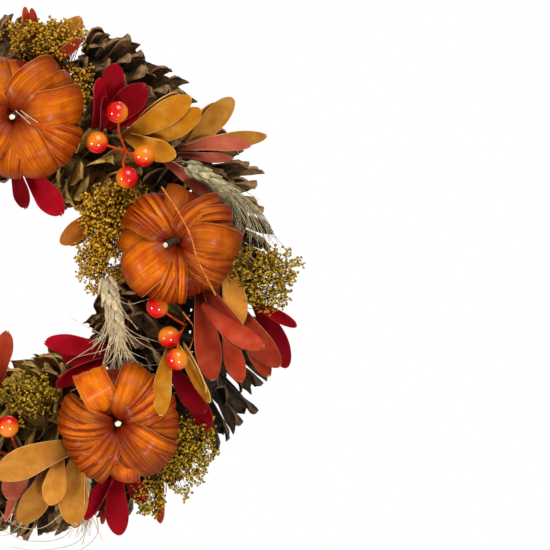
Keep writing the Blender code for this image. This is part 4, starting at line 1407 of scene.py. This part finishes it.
# Each spray: look, middle (mm right, up, depth), half sizes (mm across, deep, up), root
# (mm right, up, depth), and share of the usual number of balls
GOLD_SPRAYS = {
    "gold_spray_top": ("spray", (24, 142, 62), (27, 9, 13), (36, 118, 54), 0.9),
    "gold_spray_inner_right": ("spray", (68, 30, 66), (23, 11, 28), (72, 62, 54), 1.7),
    "gold_spray_right": ("olive_spray", (157, -2, 62), (21, 11, 19), (134, -8, 54), 1.0),
    "gold_spray_lower_right": ("olive_spray", (107, -105, 60), (20, 9, 23), (92, -84, 54), 1.2),
    "gold_spray_inner_left": ("spray", (-66, 22, 62), (19, 12, 25), (-76, 56, 54), 1.3),
    "gold_spray_lower_left": ("olive_spray", (-110, -106, 60), (19, 9, 25), (-96, -80, 54), 1.1),
    "gold_spray_small_top": ("spray", (44, 112, 58), (9, 5, 17), (40, 96, 54), 0.32),
    "gold_spray_small_bottom": ("olive_spray", (15, -72, 58), (20, 8, 13), (24, -92, 54), 0.65),
    "gold_spray_small_inner": ("spray", (53, 8, 60), (10, 6, 18), (66, 32, 54), 0.5),
    "gold_spray_small_tail": ("olive_spray", (87, -134, 58), (10, 5, 13), (94, -112, 54), 0.3),
    "gold_spray_small_left": ("olive_spray", (-152, -4, 60), (18, 9, 17), (-132, -8, 54), 0.8),
}
BALLS_IN_BUNCH = 8
BALL_SIZES = (0.00056, 0.00094)
SPRAY_WIRE = 0.00024


def spray_bunch(seed):
    """Small bunch of balls round the origin, with a fine stalk to each."""
    chance = random.Random(seed)
    balls = []
    runs = []
    for _ in range(BALLS_IN_BUNCH):
        away = Vector([chance.gauss(0, 1) for _ in range(3)]).normalized()
        place = away * chance.uniform(0.0012, 0.0036)
        ball = primitive("ico_sphere", subdivisions=1, radius=chance.uniform(*BALL_SIZES))
        ball.data.transform(Matrix.Translation(place))
        bpy.ops.object.shade_smooth()
        give_value(ball, "tone", chance.random())
        balls.append(ball)
        runs.append([(Vector(), 0.6), (place, 0.5)])
    return joined(balls, "bunch"), wires("bunch_stalks", runs, 0.00026, 0)


def gold_spray(name, look, middle, halves, root, share, masters):
    """Fine branching stems that end in bunches of small balls."""
    chance = random.Random(name)
    across, deep, up = (half * MM for half in halves)
    middle, root = spot(*middle), spot(*root)
    bunches = max(8, round(sizes().spray_balls * share / BALLS_IN_BUNCH))
    runs = [tapered([ring_foot(root - CENTRE), root], 6, 2.0)]
    clumps = []
    stalks = []
    for number in range(bunches):
        height = 1.0 - 2.0 * (number + 0.5) / bunches
        turn = number * GOLDEN_TURN
        flat = math.sqrt(1.0 - height * height)
        reach = chance.uniform(0.12, 1.0) ** 0.45
        ragged = 1.0 + 0.16 * math.sin(3 * turn) + (0.22 if chance.random() < 0.08 else 0.0)
        end = middle + Vector((across * flat * math.cos(turn), deep * height,
                               up * flat * math.sin(turn))) * reach * ragged
        place = (Matrix.Translation(end)
                 @ Matrix.Rotation(chance.uniform(0, math.tau), 4, 'X')
                 @ Matrix.Rotation(chance.uniform(0, math.tau), 4, 'Z')
                 @ Matrix.Scale(chance.uniform(0.85, 1.15), 4))
        ball_master, stalk_master = masters[chance.randrange(len(masters))]
        clumps.append(copied(ball_master, place))
        stalks.append(copied(stalk_master, place))
        bend = root.lerp(end, 0.5) + jitter(chance, 0.004)
        runs.append(tapered([root, bend, end], 4, 1.15, 0.05))
    clump = joined(clumps, f"{name}_balls")
    finished(clump, look, name)
    stems = joined([wires(f"{name}_stems", runs, SPRAY_WIRE, 0)] + stalks, f"{name}_stems")
    finished(stems, "spray_stem")


class WREATH_OT_sprays(bpy.types.Operator):
    """Grow the gold sprays"""
    bl_idname = "wreath.sprays"
    bl_label = "Gold sprays"

    def execute(self, context):
        masters = [spray_bunch(seed) for seed in range(3)]
        for name, spray in GOLD_SPRAYS.items():
            gold_spray(name, *spray, masters)
        for balls, stalks in masters:
            forget(balls)
            forget(stalks)
        return {'FINISHED'}


# ---- Wheat ---------------------------------------------------------------------------------

# Each ear: foot and tip (mm right, up, depth), the bearing its awns sweep to, their spread in
# degrees, their length in mm, the grains' length in mm and the finish
WHEAT_EARS = {
    "wheat_ear_upper_right": ((109, 66, 72), (142, 45, 70), -84.0, 60.0, 47.0, 9.0, "green_wheat"),
    "wheat_ear_inner_right": ((61, -1, 70), (70, -42, 72), -90.0, 165.0, 48.0, 10.8, "wheat"),
    "wheat_ear_upper_left": ((-106, 62, 66), (-136, 38, 66), -98.0, 60.0, 44.0, 9.0, "wheat"),
    "wheat_ear_bottom": ((43, -114, 58), (49, -141, 54), -100.0, 90.0, 27.0, 10.8, "wheat"),
}


GRAIN_ROWS = 9
# How far up the ear its last grains sit, and how far each grain stands off the axis
GRAINS_TO = 0.88
GRAIN_OFF = 0.0020
AWN_WIRE = 0.00030


def wheat_kernel():
    """Pointed grain of unit length along +Z, its root at the origin."""
    kernel = primitive("uv_sphere", segments=8, ring_count=7, radius=0.5)
    for vertex in kernel.data.vertices:
        along = vertex.co.z + 0.5
        slim = 0.46 * (1.0 - 0.45 * along)
        vertex.co = Vector((vertex.co.x * slim * 1.25, vertex.co.y * slim, along))
    only(kernel)
    bpy.ops.object.shade_smooth()
    return kernel


def wheat_ear(name, foot, tip, sweep, spread, reach, grain_length, look, master):
    """Grains in four ranks up the ear, and long bristles that arch away from it."""
    chance = random.Random(name)
    foot, tip = spot(*foot), spot(*tip)
    axis = (tip - foot).normalized()
    facing = axis.to_track_quat('Z', 'Y').to_matrix().to_4x4()
    length = (tip - foot).length
    parts = []
    runs = []
    for row in range(GRAIN_ROWS):
        for rank in range(4):
            turn = math.radians(90 * rank + 45 * (row % 2) + chance.uniform(-8, 8))
            along = (row + 0.25 * (rank % 2)) / GRAIN_ROWS * GRAINS_TO
            tilt = math.radians(24 - 8 * along + chance.uniform(-4, 4))
            place = (Matrix.Translation(foot) @ facing @ Matrix.Translation((0, 0, along * length))
                     @ Matrix.Rotation(turn, 4, 'Z') @ Matrix.Translation((0, GRAIN_OFF, 0))
                     @ Matrix.Rotation(-tilt, 4, 'X'))
            size = grain_length * MM * (1.0 - 0.25 * along)
            grain = copied(master, place @ Matrix.Diagonal((size * 1.1, size * 0.95, size, 1)))
            give_value(grain, "tone", chance.random())
            parts.append(grain)
    for _ in range(sizes().awn_count):
        along = chance.uniform(0.12, 1.0)
        start = foot.lerp(tip, along) + FORWARD * chance.uniform(0.000, 0.004)
        start += bearing_step(chance.uniform(0, 360), 0.0022)
        fall = bearing_step(sweep + chance.gauss(0, 0.3) * spread, 1.0)
        out = (axis * 0.8 + fall * 0.35 + FORWARD * chance.uniform(-0.12, 0.18)
               + bearing_step(chance.uniform(0, 360), 0.16)).normalized()
        span = reach * MM * chance.uniform(0.55, 1.0)
        middle = start + out * span * 0.45
        end = middle + (out * 0.25 + fall).normalized() * span * 0.55
        runs.append(tapered([start, middle, end], 6, 1.15, 0.0625))
    root = foot - axis * 0.004 - FORWARD * 0.012
    stalk_foot = ring_foot(away_from_centre(foot))
    runs.append(tapered([stalk_foot, root, tip - axis * 0.006], 6, 3.0))
    parts.append(wires("bristles", runs, AWN_WIRE, 1))
    finished(joined(parts, f"{name}_grains"), look, name)


class WREATH_OT_wheat(bpy.types.Operator):
    """Set the wheat ears with their bristles"""
    bl_idname = "wreath.wheat"
    bl_label = "Wheat ears"

    def execute(self, context):
        master = wheat_kernel()
        for name, ear in WHEAT_EARS.items():
            wheat_ear(name, *ear, master)
        forget(master)
        return {'FINISHED'}


# ---- Stage ---------------------------------------------------------------------------------

# Each lamp's direction from the wreath, distance, size and power
LAMPS = {
    "key_left": ((-0.80, -0.55, -0.22), 1.5, 0.30, 13.0),
    "key_front": ((0.40, -0.80, -0.46), 1.5, 0.30, 11.0),
    "soft_top": ((0.30, -0.60, 0.80), 1.7, 1.1, 20.0),
    "soft_back": ((0.2, 0.9, 0.6), 1.8, 1.2, 14.0),
}
FLOOR_SIZE = 14.0
FLOOR_DROP = 1.4
# Share of its own light that the floor shows the camera, to stay pale
FLOOR_GLOW = 0.5
# The world's strength as light, and as the background
WORLD_LIGHT = 0.30
WORLD_SHOWN = 1.0
# The camera's distance, the width that it shows and the place that it looks at
CAMERA_DISTANCE = 2.2
SHOWN_WIDTH = 0.330
LOOKED_AT = (162, 0, 60)


class WREATH_OT_stage(bpy.types.Operator):
    """Lay a pale floor and set the studio lights and the camera"""
    bl_idname = "wreath.stage"
    bl_label = "Studio"

    def execute(self, context):
        scene = bpy.context.scene
        floor = primitive("plane", size=FLOOR_SIZE, location=(0.0, 0.0, CENTRE.z - FLOOR_DROP))
        floor.name = "floor"
        pale, tree, shader = new_material("pale_floor", 0.9)
        shader.inputs["Base Color"].default_value = (0.86, 0.86, 0.85, 1.0)
        shader.inputs["Emission Color"].default_value = (1.0, 1.0, 0.99, 1.0)
        seen = node(tree, "ShaderNodeLightPath").outputs["Is Camera Ray"]
        tree.links.new(maths(tree, 'MULTIPLY', seen, FLOOR_GLOW), shader.inputs["Emission Strength"])
        floor.data.materials.append(pale)

        world = bpy.data.worlds.new("white_studio")
        world.use_nodes = True
        tree = world.node_tree
        back = tree.nodes["Background"]
        seen = node(tree, "ShaderNodeLightPath").outputs["Is Camera Ray"]
        glow = node(tree, "ShaderNodeMapRange",
                    {"Value": seen, "To Min": WORLD_LIGHT, "To Max": WORLD_SHOWN})
        back.inputs["Color"].default_value = (1.0, 1.0, 1.0, 1.0)
        tree.links.new(glow.outputs[0], back.inputs["Strength"])
        scene.world = world

        aim = CENTRE + FORWARD * 0.06
        for name, (direction, distance, size, power) in LAMPS.items():
            light = bpy.data.lights.new(name, 'AREA')
            light.shape = 'DISK'
            light.size = size
            light.energy = power
            lamp = bpy.data.objects.new(name, light)
            lamp.location = aim + Vector(direction).normalized() * distance
            lamp.rotation_euler = (aim - lamp.location).to_track_quat('-Z', 'Y').to_euler()
            scene.collection.objects.link(lamp)

        camera = bpy.data.cameras.new("camera")
        camera.lens = camera.sensor_width * CAMERA_DISTANCE / SHOWN_WIDTH
        view = bpy.data.objects.new("camera", camera)
        view.location = spot(*LOOKED_AT) + FORWARD * CAMERA_DISTANCE
        view.rotation_euler = (math.radians(90.0), 0.0, 0.0)
        scene.collection.objects.link(view)
        scene.camera = view
        scene.view_settings.view_transform = 'Standard'
        return {'FINISHED'}


class WREATH_PT_panel(bpy.types.Panel):
    """Sizes of the wreath's dressing and the steps that build it"""
    bl_idname = "WREATH_PT_panel"
    bl_label = "Harvest Wreath"
    bl_space_type = 'VIEW_3D'
    bl_region_type = 'UI'
    bl_category = "Wreath"

    def draw(self, context):
        for name in WreathSizes.__annotations__:
            self.layout.prop(context.scene.wreath_sizes, name)
        for step in STEPS:
            self.layout.operator(step.bl_idname)


STEPS = (WREATH_OT_stage, WREATH_OT_vine_ring, WREATH_OT_hanger, WREATH_OT_pine_cones,
         WREATH_OT_pumpkins, WREATH_OT_fibres, WREATH_OT_leaves, WREATH_OT_berries,
         WREATH_OT_sprays, WREATH_OT_wheat)
CLASSES = (WreathSizes, *STEPS, WREATH_PT_panel)


def register():
    for item in CLASSES:
        bpy.utils.register_class(item)
    bpy.types.Scene.wreath_sizes = bpy.props.PointerProperty(type=WreathSizes)


def unregister():
    del bpy.types.Scene.wreath_sizes
    for item in reversed(CLASSES):
        bpy.utils.unregister_class(item)


def main():
    register()
    bpy.ops.wreath.stage()
    bpy.ops.wreath.vine_ring()
    bpy.ops.wreath.hanger()
    bpy.ops.wreath.pine_cones()
    bpy.ops.wreath.pumpkins()
    bpy.ops.wreath.fibres()
    bpy.ops.wreath.leaves()
    bpy.ops.wreath.berries()
    bpy.ops.wreath.sprays()
    bpy.ops.wreath.wheat()
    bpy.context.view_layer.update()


if __name__ == "__main__":
    main()
